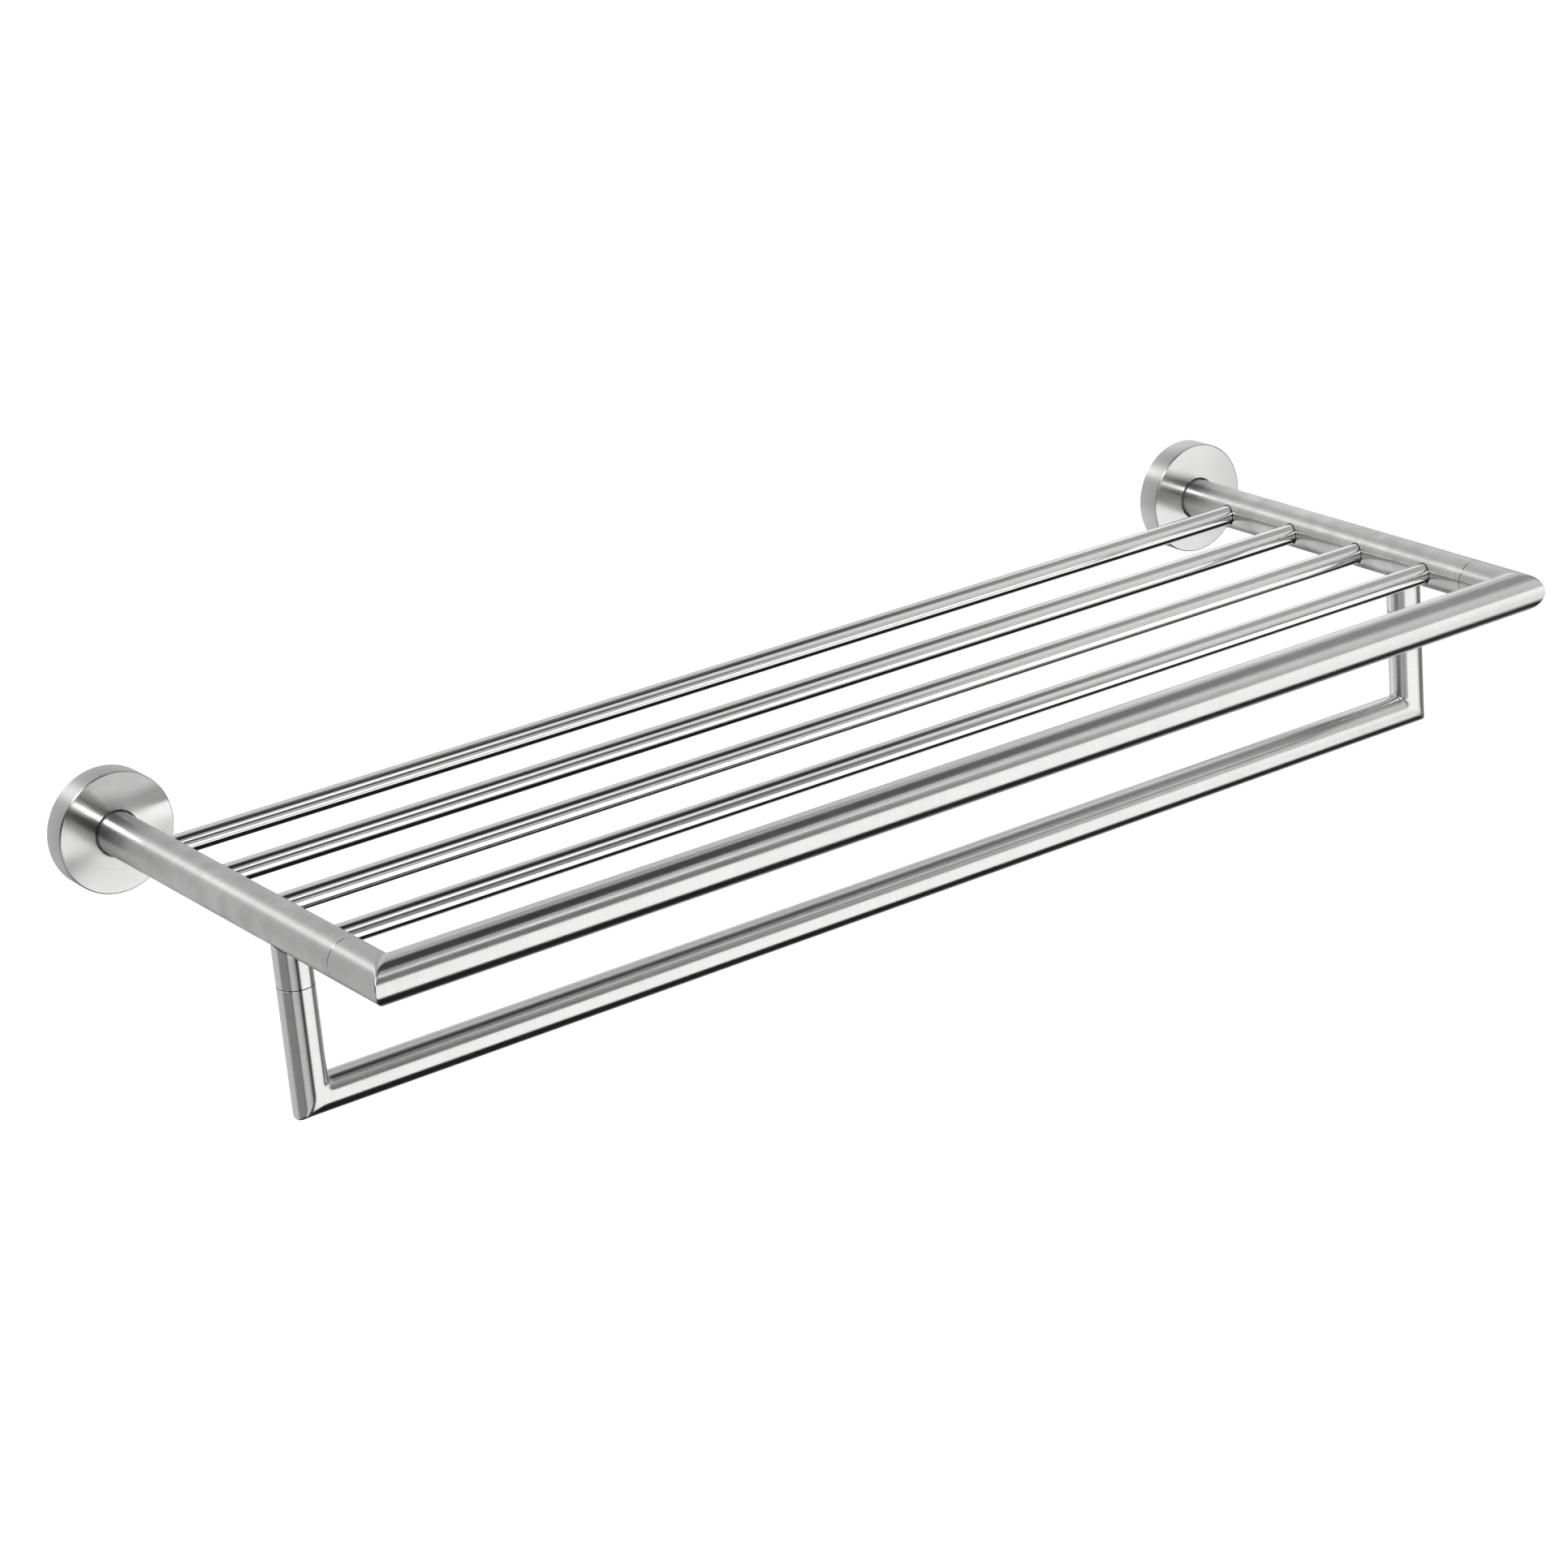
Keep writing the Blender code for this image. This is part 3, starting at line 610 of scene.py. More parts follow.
# %% Shelf bars
BAR_SIDES = 64
for number, y in enumerate(BAR_Y, 1):
    ends = [Vector((-BAR_REACH, y, 0)), Vector((BAR_REACH, y, 0))]
    bar_mesh = tube(ends, BAR_RADIUS, BAR_WALL, BAR_SIDES, "bright_bar")
    mark(bar_mesh, ends, offset=number)
    add_piece(f"bright_bar_{number}", bar_mesh, "bright_bar", f"shelf_bar_{number}")

# %% [markdown]
# ## Arms and their holes
#
# Each arm is drilled through its inner wall for the four bars. A tree makes the row of holes: a line
# of points, a drill on each, and one Boolean that takes them all out.

# %% Drill tree
DRILL_SIDES = 64


def copies(tree, points, shape, angles):
    """A copy of the shape on each point, turned by angles about X, Y and Z."""
    aim = new_node(tree, "FunctionNodeEulerToRotation", {0: angles})
    inputs = {"Points": points, "Instance": shape, "Rotation": aim.outputs[0]}
    return new_node(tree, "GeometryNodeInstanceOnPoints", inputs).outputs["Instances"]


def drill_tree():
    inputs = {"Tube": "Geometry", "Holes": "Int", "Radius": "Float", "Length": "Float",
              "First": "Vector", "Pitch": "Vector", "Turned": "Vector", "Finish": "Material"}
    tree, come_in, go_out = open_tree("Row of drilled holes", inputs)
    row = new_node(tree, "GeometryNodeMeshLine", {
        "Count": come_in["Holes"], "Start Location": come_in["First"], "Offset": come_in["Pitch"]},
        mode="OFFSET")
    drill = new_node(tree, "GeometryNodeMeshCylinder", {
        "Vertices": DRILL_SIDES, "Radius": come_in["Radius"], "Depth": come_in["Length"]},
        fill_type="NGON")
    drills = copies(tree, row.outputs["Mesh"], drill.outputs["Mesh"], come_in["Turned"])
    real = new_node(tree, "GeometryNodeRealizeInstances", {"Geometry": drills})
    cut = new_node(tree, "GeometryNodeMeshBoolean", {0: come_in["Tube"], 1: real.outputs["Geometry"]},
                   operation="DIFFERENCE", solver="EXACT")
    return end_shape(tree, cut.outputs["Mesh"], come_in["Finish"], go_out)


DRILL_TREE = drill_tree()

# %% [markdown]
# The cut leaves long thin faces beside the holes, and shading those by their own flat normals would
# show. The skin of a tube is known exactly, so the normals are written from it. Where a face lies on
# the tube's outside or on its bore, each corner's normal is square to the axis. Elsewhere the face
# keeps its own.

# %% Exact normals for a round skin
ON_SKIN = 0.003  # share of the radius
END_TILT = 0.2  # a face that looks along the axis by more than this is an end


def round_normals(mesh, start, axis, radii, other=()):
    """Write exact normals where faces lie on cylinders about the axis, or about others."""
    skins = [*((start, axis, radius) for radius in radii), *other]
    normals = [tuple(corner.vector) for corner in mesh.corner_normals]
    for face in mesh.polygons:
        for origin, line, radius in skins:
            spokes = [mesh.vertices[i].co - origin for i in face.vertices]
            spokes = [spoke - line * spoke.dot(line) for spoke in spokes]
            if all(abs(spoke.length - radius) < radius * ON_SKIN for spoke in spokes):
                outward = 1 if face.normal.dot(sum(spokes, Vector())) > 0 else -1
                if abs(face.normal.dot(line)) < END_TILT:
                    for corner, spoke in zip(face.loop_indices, spokes):
                        normals[corner] = tuple(spoke.normalized() * outward)
                break
    mesh.normals_split_custom_set(normals)


# %% Arms
ARM_SPACING = 2 * MM  # rings close together, so that the wear round a hole stays narrow
bar_pitch = (BAR_Y[-1] - BAR_Y[0]) / (len(BAR_Y) - 1)
for side, sign in SIDES:
    ends = [Vector((sign * ARM_X, y, 0)) for y in ARM_ENDS]
    arm_mesh = tube(ends, FRAME_RADIUS, FRAME_WALL, FRAME_SIDES, "satin_arm", spacing=ARM_SPACING)
    arm_mesh = run_tree(
        DRILL_TREE, arm_mesh, Holes=len(BAR_Y), Radius=BAR_RADIUS + SEAT_GAP, Length=2 * FRAME_RADIUS,
        First=Vector((sign * (ARM_X - FRAME_RADIUS), BAR_Y[0], 0)), Pitch=Vector((0, bar_pitch, 0)),
        Turned=Vector((0, math.radians(90), 0)), Finish=MATERIALS["satin_arm"])
    mark(arm_mesh, ends, offset=sign)
    round_normals(arm_mesh, ends[0], OUT, (FRAME_RADIUS, FRAME_RADIUS - FRAME_WALL))
    add_piece(f"{side}_arm_tube", arm_mesh, "satin_arm", f"{side}_arm")

# %% [markdown]
# ## Drop stubs
#
# The stubs are coped: their tops are milled to the round of the arm, so that they sit on it like a
# saddle. The cutter is a cylinder a seat gap wider than the arm.

# %% Coped stubs
def cylinder(start, end, radius, sides):
    """A closed cylinder for cutting."""
    axis = end - start
    stand = Matrix.LocRotScale(start + axis / 2, axis.to_track_quat("Z", "Y"), None)
    shape = bmesh.new()
    bmesh.ops.create_cone(shape, cap_ends=True, segments=sides, radius1=radius, radius2=radius,
                          depth=axis.length, matrix=stand)
    mesh = bpy.data.meshes.new("cutter")
    shape.to_mesh(mesh)
    shape.free()
    return mesh


def cut_away(mesh, *cutters):
    """Take closed shapes out of a mesh with the exact solver."""
    body, tools = add_object("body", mesh), [add_object("tool", cutter) for cutter in cutters]
    for tool in tools:
        step = body.modifiers.new("cut", "BOOLEAN")
        step.operation, step.solver, step.object = "DIFFERENCE", "EXACT", tool
    made = keep_mesh(body)
    for tool in tools:
        bpy.data.objects.remove(tool, do_unlink=True)
    return made


for side, sign in SIDES:
    top, end = Vector((sign * ARM_X, RAIL_Y, 0)), Vector((sign * ARM_X, RAIL_Y, STUB_END_Z))
    stub_mesh = tube([top, end], RAIL_RADIUS, RAIL_WALL, RAIL_SIDES, "satin_rail")
    reach = OUT * 2 * RAIL_RADIUS
    mill = cylinder(top - reach, top + reach, FRAME_RADIUS + SEAT_GAP, 2 * FRAME_SIDES)
    stub_mesh = cut_away(stub_mesh, mill)
    mark(stub_mesh, [top, end], offset=2 * sign)
    saddle = [(top, OUT, FRAME_RADIUS + SEAT_GAP)]
    round_normals(stub_mesh, top, DOWN, (RAIL_RADIUS, RAIL_RADIUS - RAIL_WALL), saddle)
    add_piece(f"{side}_coped_stub", stub_mesh, "satin_rail", f"{side}_drop_stub")

# %% [markdown]
# ## Rosettes
#
# The rosette is turned from bar: a face that is very slightly domed, a small radius at its edge, a
# rim, and a hollow back. Its profile is a list of points, each with a radius and a height above the
# wall, and each point becomes a ring.

# %% Turned profiles
ROSETTE_RADIUS, ROSETTE_DEPTH = 27 * MM, 12 * MM
ROSETTE_RIM, ROSETTE_FACE = 2.2 * MM, 2 * MM
ROSETTE_EDGE, ROSETTE_CHAMFER = 0.8 * MM, 0.4 * MM
ROSETTE_BORE = FRAME_RADIUS + 0.6 * MM
ROSETTE_STEPS = 160
EDGE_STEPS = 8
KEEP_FLAT = 0.12 * MM  # the ring beside an edge that keeps the shading of the flat face clean
CROWN, CROWN_STEPS = 0.3 * MM, 12  # how far the face has fallen away at its edge


def turned(profile, foot, axis, sides, slot, closed=True):
    """Turn points of (radius, height) about an axis that starts at foot."""
    lean = square_to(axis)
    across = axis.cross(lean)
    rows = [(foot + axis * height, lean, across, radius) for radius, height in profile]
    return sweep_rings(rows, sides, slot, closed)


def crown(radius):
    """The height of the domed face at a radius."""
    share = (radius - ROSETTE_BORE) / (ROSETTE_RADIUS - ROSETTE_BORE)
    return ROSETTE_DEPTH - CROWN * share ** 2


back_of_face, inside = ROSETTE_DEPTH - ROSETTE_FACE, ROSETTE_RADIUS - ROSETTE_RIM
crown_start, crown_end = ROSETTE_BORE + ROSETTE_CHAMFER, ROSETTE_RADIUS - ROSETTE_EDGE
crown_step = (crown_end - crown_start) / CROWN_STEPS
crown_radii = [crown_start + crown_step * step for step in range(1, CROWN_STEPS)]
edge_height = crown(crown_end) - ROSETTE_EDGE
edge_angles = [step / EDGE_STEPS * math.pi / 2 for step in range(EDGE_STEPS + 1)]
rosette_profile = [
    *[(radius, crown(radius)) for radius in crown_radii],
    (crown_end - KEEP_FLAT, crown(crown_end)),
    *[(crown_end + ROSETTE_EDGE * math.sin(angle), edge_height + ROSETTE_EDGE * math.cos(angle))
      for angle in edge_angles],
    (ROSETTE_RADIUS, edge_height - KEEP_FLAT), (ROSETTE_RADIUS, 0),
    (inside + ROSETTE_CHAMFER, 0), (inside, ROSETTE_CHAMFER), (inside, back_of_face),
    (ROSETTE_BORE, back_of_face), (ROSETTE_BORE, ROSETTE_DEPTH - ROSETTE_CHAMFER),
    (crown_start, ROSETTE_DEPTH),
]
print("rosette profile:", len(rosette_profile), "rings")

# %% [markdown]
# The small hole under the rim lets a hexagon key reach the screw that holds the rosette on its
# plate. It is drilled once the rosette is turned. The rim came off the lathe duller than the face,
# and its colour is made darker there as painted shade.

# %% Rosettes with the hole for their screw
ROSETTE_SCREW_RADIUS = 1.5 * MM
HOLE_SIDES = 32
RIM_FROM = ROSETTE_RADIUS - ROSETTE_EDGE / 2
PLATE_MIDDLE = middle("left_rosette_screw").y
for side, sign in SIDES:
    foot = Vector((sign * ARM_X, 0, 0))
    rosette_mesh = turned(rosette_profile, foot, OUT, ROSETTE_STEPS, "turned_rosette")
    hole_top = foot + BACK * PLATE_MIDDLE + DOWN * (inside - 2 * ROSETTE_RIM)
    hole_end = hole_top + DOWN * 4 * ROSETTE_RIM
    hole = cylinder(hole_top, hole_end, ROSETTE_SCREW_RADIUS + SEAT_GAP, HOLE_SIDES)
    rosette_mesh = cut_away(rosette_mesh, hole)
    mark(rosette_mesh, [foot, foot + OUT * ROSETTE_DEPTH], offset=3 * sign)
    # The rim's mask makes it rougher, and darker in colour as painted shade
    store(rosette_mesh, "dull_and_shade", [
        math.hypot(vertex.co.x - foot.x, vertex.co.z) > RIM_FROM for vertex in rosette_mesh.vertices])
    round_normals(rosette_mesh, foot, OUT, (ROSETTE_RADIUS, inside, ROSETTE_BORE))
    add_piece(f"{side}_turned_rosette", rosette_mesh, "turned_rosette", f"{side}_rosette")

# %% [markdown]
# ## Wall plates
#
# Seen only from the wall's side: a zinc-plated disc with a V groove in its edge for the rosette's
# screw, a countersink for the arm's screw and three curved slots for the wall screws. The disc is
# turned like the rosette. The slots repeat round the axis, so a tree lays out their cutter and turns
# each copy by its share of the circle.

# %% Copies round an axis
def round_tree():
    inputs = {"Shape": "Geometry", "Copies": "Int", "Finish": "Material"}
    tree, come_in, go_out = open_tree("Copies round an axis", inputs)
    points = new_node(tree, "GeometryNodePoints", {"Count": come_in["Copies"]})
    step = maths(tree, "DIVIDE", math.tau, come_in["Copies"])
    angle = maths(tree, "MULTIPLY", new_node(tree, "GeometryNodeInputIndex").outputs[0], step)
    turn = new_node(tree, "ShaderNodeCombineXYZ", {"Y": angle})
    around = copies(tree, points.outputs[0], come_in["Shape"], turn.outputs[0])
    return end_shape(tree, around, come_in["Finish"], go_out)


ROUND_TREE = round_tree()

# %% [markdown]
# The slots are curved so that the fitter can turn the plate until the rack hangs level. A slot's
# outline is four arcs, two long ones and a round end on each side, with walls between two copies.

# %% One slot's cutter
PLATE_RADIUS = inside - 0.4 * MM
PLATE_DEPTH = 2 * -PLATE_MIDDLE
GROOVE = 1.2 * MM  # depth of the V groove
PLATE_CHAMFER = 0.5 * MM
SEAT_RADIUS, SEAT_DEPTH = FRAME_RADIUS + SEAT_GAP, 0.8 * MM
SLOT_COUNT, SLOT_WIDTH, SLOT_SWEEP = 3, 5 * MM, math.radians(26)
SLOT_CIRCLE = (SEAT_RADIUS + PLATE_RADIUS - GROOVE) / 2
SLOT_STEPS = 12


def on_circle(radius, angle, centre=(0, 0)):
    """A point in the wall's plane, as X and Z, with the angle from straight up."""
    return centre[0] + radius * math.sin(angle), centre[1] + radius * math.cos(angle)


def slot_cutter(depth):
    """A curved slot with round ends, made solid from behind the wall to this depth out of it."""
    half, shares = SLOT_WIDTH / 2, [step / SLOT_STEPS for step in range(SLOT_STEPS + 1)]
    first, last = -SLOT_SWEEP / 2, SLOT_SWEEP / 2
    start, end = on_circle(SLOT_CIRCLE, first), on_circle(SLOT_CIRCLE, last)
    outline = [on_circle(SLOT_CIRCLE + half, first + share * SLOT_SWEEP) for share in shares]
    outline += [on_circle(half, last + share * math.pi, end) for share in shares[1:]]
    outline += [on_circle(SLOT_CIRCLE - half, last - share * SLOT_SWEEP) for share in shares[1:]]
    outline += [on_circle(half, first + (1 + share) * math.pi, start) for share in shares[1:-1]]
    count = len(outline)
    points = [(x, y, z) for y in (1 * MM, -depth) for x, z in outline]
    walls = [(i, (i + 1) % count, count + (i + 1) % count, count + i) for i in range(count)]
    mesh = bpy.data.meshes.new("slot")
    mesh.from_pydata(points, [], [list(range(count))[::-1], list(range(count, 2 * count)), *walls])
    return face_outwards(mesh)


# %% [markdown]
# The plate's profile goes from the front over a chamfer and the V groove to the back, down the
# countersink, through the screw's hole and out at the seat for the arm's end.

# %% Wall plates
PLATE_SIDES = 128
HEAD_RADIUS, HEAD_RIM = 5.75 * MM, 0.4 * MM  # the arm screw's countersunk head
SCREW_HOLE = 3.3 * MM
SINK_RADIUS = HEAD_RADIUS + HEAD_RIM + SEAT_GAP * (1 + math.sqrt(2))
edge, depth, seat = PLATE_RADIUS, PLATE_DEPTH, PLATE_DEPTH - SEAT_DEPTH
plate_profile = [
    (edge - PLATE_CHAMFER - KEEP_FLAT, depth), (edge - PLATE_CHAMFER, depth),
    (edge, depth - PLATE_CHAMFER),
    (edge, depth / 2 + GROOVE), (edge - GROOVE, depth / 2), (edge, depth / 2 - GROOVE),
    (edge, KEEP_FLAT), (edge - KEEP_FLAT, 0),
    (SINK_RADIUS, 0), (SCREW_HOLE, SINK_RADIUS - SCREW_HOLE),
    (SCREW_HOLE, seat), (SEAT_RADIUS, seat), (SEAT_RADIUS, depth),
]
for side, sign in SIDES:
    foot = Vector((sign * ARM_X, 0, 0))
    plate_mesh = turned(plate_profile, foot, OUT, PLATE_SIDES, "zinc_plated_steel")
    slots = run_tree(ROUND_TREE, slot_cutter(2 * PLATE_DEPTH), Copies=SLOT_COUNT)
    slots.transform(Matrix.Translation(foot))
    plate_mesh = cut_away(plate_mesh, slots)
    mark(plate_mesh, [foot, foot + OUT * PLATE_DEPTH], offset=4 * sign)
    add_piece(f"{side}_slotted_plate", plate_mesh, "zinc_plated_steel", f"{side}_wall_plate")

# %% [markdown]
# ## Screws
#
# The arm's screw is countersunk and sits in the plate's back. The others are headless grub screws
# under the rosette's rim, under the returns and behind the legs. All of them have a hexagon socket
# with a small lead-in at its mouth. A screw is a turned solid from its tip to its socket end, and
# a six-sided cutter takes out the socket.

# %% Screws with hexagon sockets
SCREW_SIDES = 48
LEAD_DEPTH, LEAD_WIDTH = 0.15 * MM, 0.05 * MM
GRUB_CHAMFER, GRUB_SOCKET = 0.25 * MM, 1.3 * MM
GRUB_TIP = 0.3  # share of the radius that is flat at the tip
ARM_SCREW_RADIUS, ARM_SCREW_CHAMFER = 3 * MM, 0.8 * MM
ARM_SCREW_FLATS, ARM_SCREW_SOCKET = 4 * MM, 2.2 * MM


def screw(name, node, outward, radius, profile, flats, socket_depth, slot, offset):
    """Turn a solid on the axis of a CAD screw and cut its socket. The profile starts at the mouth."""
    low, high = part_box(node)
    length = abs((high - low).dot(outward))
    tip = (low + high) / 2 - outward * length / 2
    solid = turned(profile(radius, length), tip, outward, SCREW_SIDES, slot, closed=False)
    mouth, corner = tip + outward * length, flats / 2 / math.cos(math.pi / 6)
    key = cylinder(mouth - outward * socket_depth, mouth + outward * MM, corner, 6)
    lead = cylinder(mouth - outward * LEAD_DEPTH, mouth + outward * MM, corner + LEAD_WIDTH, SCREW_SIDES)
    made = cut_away(solid, key, lead)
    mark(made, [tip, mouth], offset=offset)
    add_piece(name, made, slot, node)


def grub_profile(radius, length):
    tip, high = radius * GRUB_TIP, length - GRUB_CHAMFER
    return [(0, length), (radius - GRUB_CHAMFER - KEEP_FLAT, length), (radius - GRUB_CHAMFER, length),
            (radius, high), (radius, high - KEEP_FLAT), (radius, radius - tip + KEEP_FLAT),
            (radius, radius - tip), (tip, 0), (0, 0)]


def countersunk_profile(radius, length):
    neck, chamfer = length - HEAD_RIM - HEAD_RADIUS + radius, ARM_SCREW_CHAMFER
    return [(0, length), (HEAD_RADIUS - KEEP_FLAT, length), (HEAD_RADIUS, length - KEEP_FLAT),
            (HEAD_RADIUS, length - HEAD_RIM), (radius, neck), (radius, neck - KEEP_FLAT),
            (radius, chamfer + KEEP_FLAT), (radius, chamfer), (radius - chamfer, 0), (0, 0)]


for side, _ in SIDES:
    screw(f"{side}_countersunk_screw", f"{side}_arm_screw", BACK, ARM_SCREW_RADIUS, countersunk_profile,
          ARM_SCREW_FLATS, ARM_SCREW_SOCKET, "zinc_plated_steel", 5)
    for place, outward, radius, flats in (
            ("rosette", DOWN, ROSETTE_SCREW_RADIUS, 1.5 * MM), ("front", DOWN, 2 * MM, 2 * MM),
            ("rail", BACK, 2 * MM, 2 * MM)):
        screw(f"{side}_{place}_grub_screw", f"{side}_{place}_screw", outward, radius, grub_profile,
              flats, GRUB_SOCKET, "dark_screw", 6)

# %% [markdown]
# ## What stays from the CAD
#
# The inserts and plugs are closed in by the tubes, and their CAD shapes are right as they are. They
# only need a finish, which takes its scratches from Object coordinates.

# %% Finishes for the CAD nodes that stay
for subpart in frame["record"]["subparts"]:
    node = frame["nodes"][subpart["node"]]
    node.data.materials.clear()
    node.data.materials.append(MATERIALS[subpart["material_slot"]])

# %% [markdown]
# ## Camera
#
# The camera stands where the photo was taken from, to the left of the rack and above it. Its place,
# tilt and lens come from fitting the rack's edges to those in the photo. The photo's own lens was
# shifted far, which other views can't share, so this one is the nearest without a shift.

# %% Camera
CAMERA_PLACE = Vector((-1.0200, -1.5898, 0.6474))
CAMERA_HEADING = math.radians(33.886)  # from straight at the wall, to the right
CAMERA_PITCH = math.radians(-20.843)
CAMERA_ROLL = math.radians(-5.010)
CAMERA_LENS = 99.5  # mm, on a sensor 36 mm wide
camera_data = bpy.data.cameras.new("camera")
camera = add_object("camera", camera_data)
forward = Vector((math.sin(CAMERA_HEADING) * math.cos(CAMERA_PITCH),
                  math.cos(CAMERA_HEADING) * math.cos(CAMERA_PITCH), math.sin(CAMERA_PITCH)))
level = forward.to_track_quat("-Z", "Y").to_matrix()
turn = level @ Matrix.Rotation(CAMERA_ROLL, 3, "Z")
camera.matrix_world = Matrix.Translation(CAMERA_PLACE) @ turn.to_4x4()
camera_data.lens, camera_data.sensor_width = CAMERA_LENS, 36
camera_data.clip_start, camera_data.clip_end = 0.05, 200
bpy.context.scene.camera = camera
bpy.context.scene.view_settings.view_transform = "Standard"
print("camera", round((CAMERA_PLACE - middle("front_rail")).length, 3), "m from the front rail")

# %% [markdown]
# ## Light for bare steel
#
# Steel shows what stands round it. The bands of light and dark along the tubes are softboxes, the
# gaps between them and the dark cards that photographers hold in to give metal its edges. Lamps
# would only make spots, so all the light comes from cards and from the room. Ground steel draws a
# reflection out square to its scratches, so rails, arms and rosettes each answer to a strip of their
# own. A card whose edges fade over more than half its size is thin throughout, which `right_shade`
# uses to take some glare off the right rosette. The camera doesn't see the cards.

# %% A card that fades at its edges
def card_material(name, brightness, soft):
    material, tree = new_material(name)
    tree.nodes.clear()
    place = new_node(tree, "ShaderNodeTexCoord").outputs["Generated"]
    split = new_node(tree, "ShaderNodeSeparateXYZ", {0: place}).outputs
    masks = []
    for axis, share in zip("XY", soft):
        from_middle = maths(tree, "ABSOLUTE", maths(tree, "SUBTRACT", split[axis], 0.5))
        inner = maths(tree, "SUBTRACT", 0.5, from_middle)
        masks.append(maths(tree, "DIVIDE", inner, share, clamp=True))
    clear = new_node(tree, "ShaderNodeBsdfTransparent").outputs[0]
    glow = new_node(tree, "ShaderNodeEmission", {"Strength": brightness}).outputs[0]
    mix = new_node(tree, "ShaderNodeMixShader", {0: maths(tree, "MULTIPLY", *masks), 1: clear, 2: glow})
    new_node(tree, "ShaderNodeOutputMaterial", {"Surface": mix.outputs[0]})
    return material


def flat_mesh(name, half_x, half_y):
    mesh = bpy.data.meshes.new(name)
    corners = [(x * half_x, y * half_y, 0) for x, y in ((-1, -1), (1, -1), (1, 1), (-1, 1))]
    mesh.from_pydata(corners, [], [(0, 1, 2, 3)])
    return mesh


def card(name, place, width, height, brightness, soft, facing=DOWN):
    """A softbox, or a dark card, that looks along facing. Its edges fade over shares of its size."""
    mesh = flat_mesh(name, width / 2, height / 2)
    mesh.materials.append(card_material(name, brightness, soft))
    obj = add_object(name, mesh)
    obj.rotation_mode = "QUATERNION"
    obj.rotation_quaternion = facing.to_track_quat("Z", "Y")
    obj.location = place
    obj.visible_camera = obj.visible_shadow = obj.visible_diffuse = False


# %% [markdown]
# An upright card is placed by its two ends on the floor plan. Flat ones hang overhead and look down.

# %% Cards
def card_between(name, start, end, low, high, brightness, soft):
    """An upright card from one point on the floor plan to another, which looks to its left."""
    along = Vector((end[0] - start[0], end[1] - start[1], 0))
    place = (start[0] + end[0]) / 2, (start[1] + end[1]) / 2, (low + high) / 2
    card(name, place, along.length, high - low, brightness, soft, UP.cross(along.normalized()))


card_between("front_softbox", (-0.27, -0.95), (1.14, -0.68), -1.0, 0.16, 1.42, (0.05, 0.06))
card_between("left_reflector", (-0.85, -0.52), (-0.38, -0.46), -1.0, -0.12, 0.85, (0.2, 0.05))
card_between("gap_reflector", (-1.25, -0.78), (-0.45, -0.87), -1.0, -0.18, 0.5, (0.1, 0.05))
card_between("far_reflector", (-1.5, -1.4), (-0.62, -1.5), -1.3, -0.3, 0.75, (0.1, 0.1))
card_between("low_gap", (-0.6, -1.4), (0.95, -1.4), 0.20, 0.98, 0.15, (0.05, 0.05))
card_between("right_front_glow", (0.9, -1.7), (4.0, -1.7), 0.2, 3.6, 0.86, (0.12, 0.1))
card_between("left_dim", (-1.640, 0.610), (-1.555, -1.018), -1.62, 0.205, 0.33, (0.15, 0.15))
card_between("right_dim", (1.566, -0.817), (1.630, 0.410), -1.099, 1.100, 0.28, (0.15, 0.15))
card_between("back_glow_high", (0.30, 0.12), (0.68, 0.12), 0.0, 0.38, 1.1, (0.2, 0.2))
card_between("back_glow_low", (0.02, 0.12), (0.27, 0.12), -0.36, -0.03, 1.1, (0.2, 0.2))
card("arm_strip", (-1.7, 2.2, 2.4), 2.4, 4.8, 1.85, (0.45, 0.05))
card("rosette_strip", (-1.65, -4.6, 2.4), 1.0, 7.6, 9.0, (0.15, 0.05))
card("rail_strip", (2.25, -4.1, 3.4), 0.85, 4.0, 2.4, (0.2, 0.08))
card("rail_glint", (1.88, -4.1, 3.3), 0.5, 3.8, 2.2, (0.4, 0.08))
card_between("right_shade", (0.70, -0.72), (1.10, -0.66), -0.52, -0.08, 0.35, (1.0, 0.3))
card("shelf_glow", (0.03, -0.03, 0.3), 0.38, 0.12, 0.2, (0.2, 0.4))
card("right_top_glow", (2.1, -0.3, 1.7), 2.0, 1.8, 0.5, (0.2, 0.1))

# %% [markdown]
# ## Room and floor
#
# The room is dark in front and softly grey behind, which the upper sides of the tubes reflect. The
# camera itself sees white, as in the photo. The floor is plain and pale, far below the rack, and the
# steel doesn't reflect it.

# %% World and floor
REAR_GREY, FRONT_GREY, LEAST_GREY = 0.73, 0.02, 0.012
REAR_FROM, REAR_FULL = 0.18, 0.42  # how far back the room turns grey, as the Y of a direction
GROUND_DARK, GROUND_CLEAR = -0.82, -0.70  # below this it is dark, as the Z of a direction
FLOOR_Z, HALF_FLOOR, FLOOR_GREY = -1.5, 60, 0.9
WHITE = (1, 1, 1, 1)

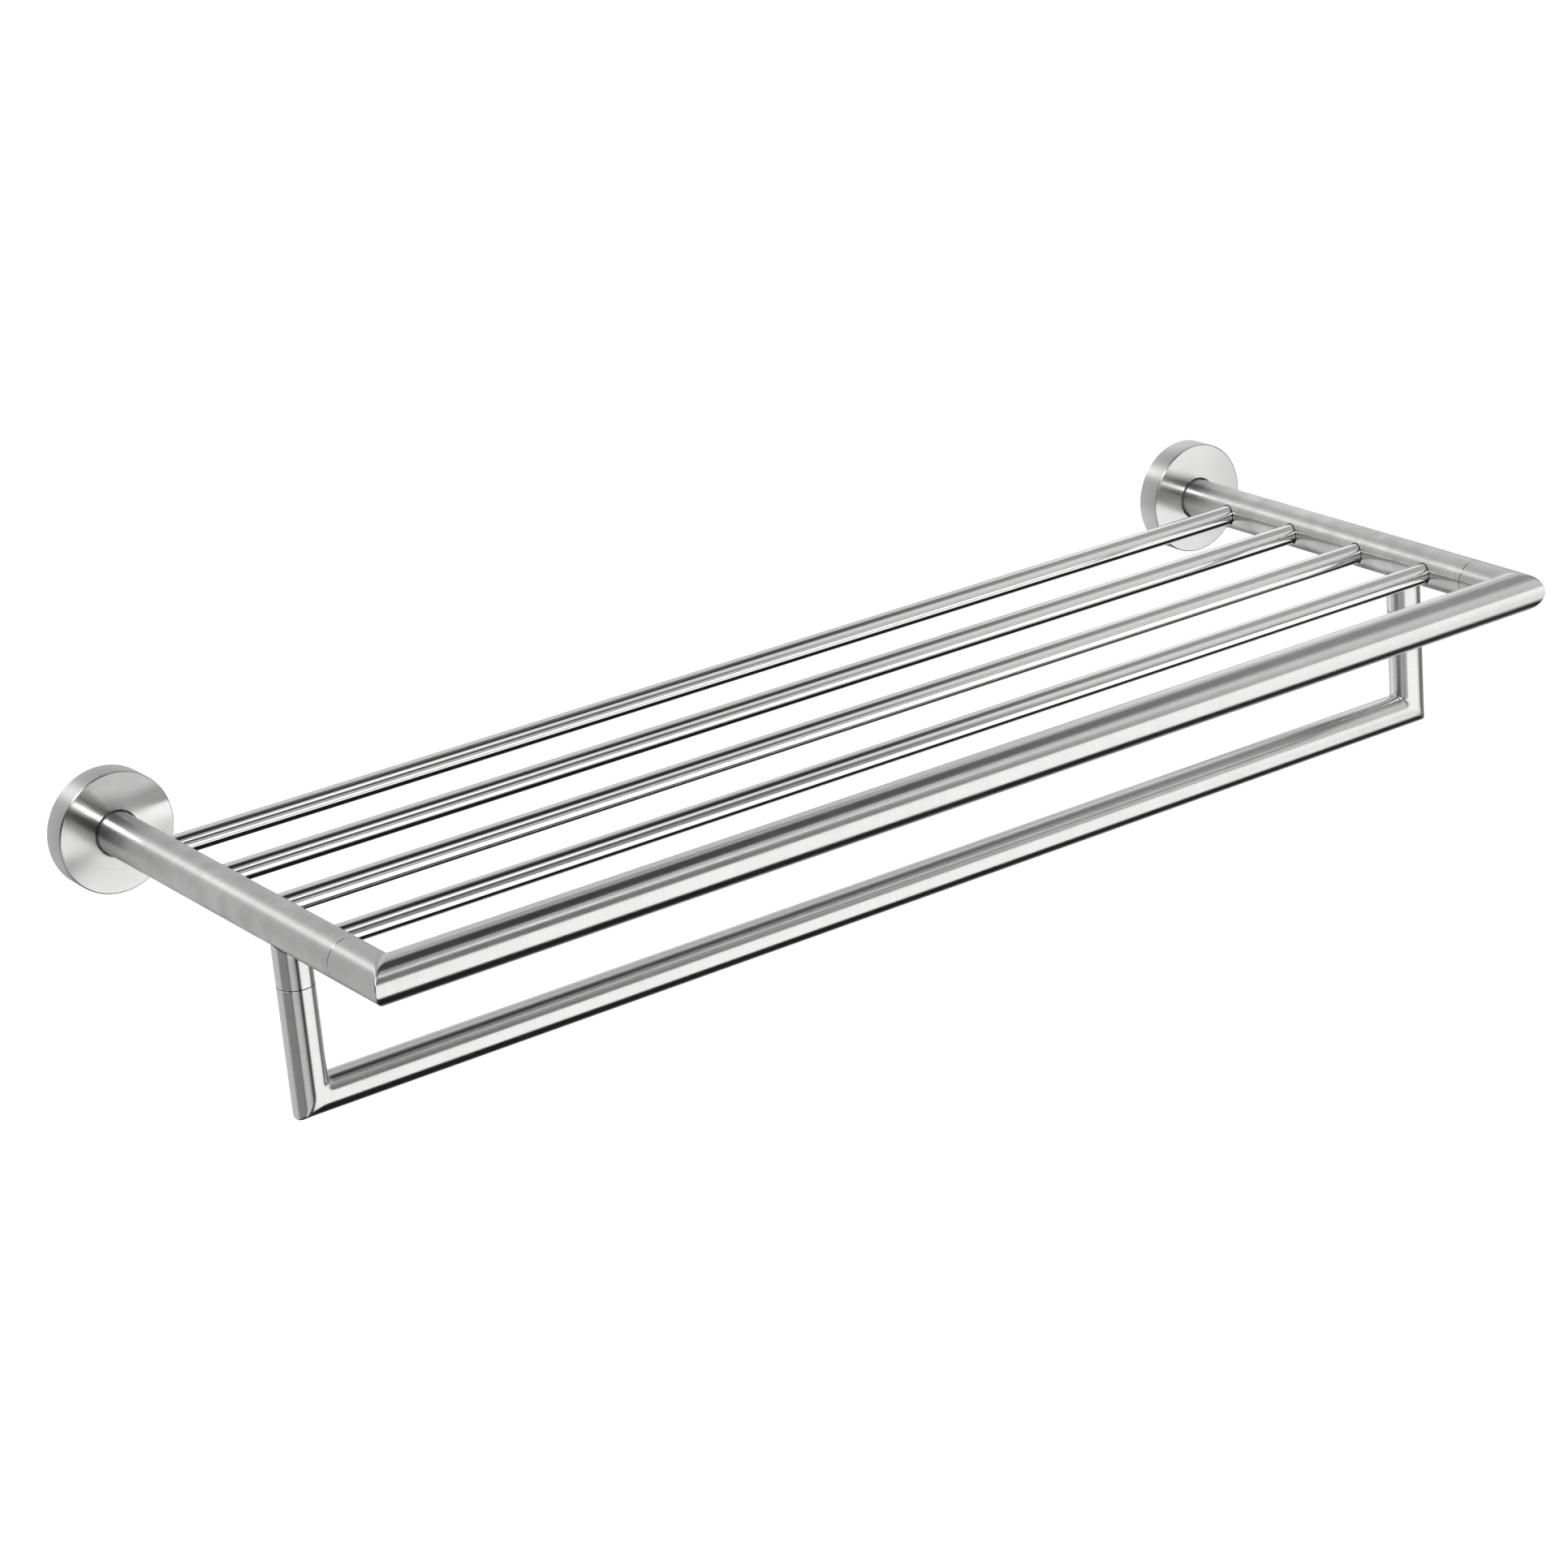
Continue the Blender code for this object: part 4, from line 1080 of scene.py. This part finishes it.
world = bpy.data.worlds.new("studio")
bpy.context.scene.world = world
world.use_nodes = True
sky = world.node_tree
sky.nodes.clear()
place = new_node(sky, "ShaderNodeTexCoord").outputs["Generated"]
split = new_node(sky, "ShaderNodeSeparateXYZ", {0: place}).outputs


def ramp(value, start, end, low, high):
    limits = {"Value": value, "From Min": start, "From Max": end, "To Min": low, "To Max": high}
    return new_node(sky, "ShaderNodeMapRange", limits, interpolation_type="SMOOTHSTEP").outputs[0]


rear = ramp(split["Y"], REAR_FROM, REAR_FULL, FRONT_GREY, REAR_GREY)
above = ramp(split["Z"], GROUND_DARK, GROUND_CLEAR, 0.0, 1.0)
room_light = maths(sky, "MULTIPLY_ADD", rear, above, LEAST_GREY)
seen = new_node(sky, "ShaderNodeLightPath").outputs["Is Camera Ray"]
strength = new_node(sky, "ShaderNodeMix", {0: seen, 2: room_light, 3: 1.0}, data_type="FLOAT")
glow = new_node(sky, "ShaderNodeBackground", {"Color": WHITE, "Strength": strength.outputs[0]})
new_node(sky, "ShaderNodeOutputWorld", {"Surface": glow.outputs[0]})

floor_mesh = flat_mesh("floor", HALF_FLOOR, HALF_FLOOR)
floor_mesh.transform(Matrix.Translation(UP * FLOOR_Z))
floor_material, floor_tree = new_material("pale_floor")
feed(floor_tree, floor_tree.nodes["Principled BSDF"], {
    "Base Color": (FLOOR_GREY, FLOOR_GREY, FLOOR_GREY, 1), "Roughness": 1, "Specular IOR Level": 0,
    "Emission Color": WHITE, "Emission Strength": 1})
floor_mesh.materials.append(floor_material)
floor = add_object("floor", floor_mesh)
floor.visible_glossy = floor.visible_diffuse = False
print("floor", -FLOOR_Z, "m below the arms")

# %% [markdown]
# ## Check against the CAD
#
# Each piece has to fill the box of the node that it stands for. The last cell prints how far it is
# off.

# %% Compare the pieces with the CAD and finish
for name, node in PIECES.items():
    mesh = bpy.data.objects[name].data
    low = Vector([min(v.co[i] for v in mesh.vertices) for i in range(3)])
    high = Vector([max(v.co[i] for v in mesh.vertices) for i in range(3)])
    cad_low, cad_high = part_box(node)
    off = max(abs(x) for x in [*(low - cad_low), *(high - cad_high)])
    print(f"{name}: box off the CAD's by {off / MM:.3f} mm")
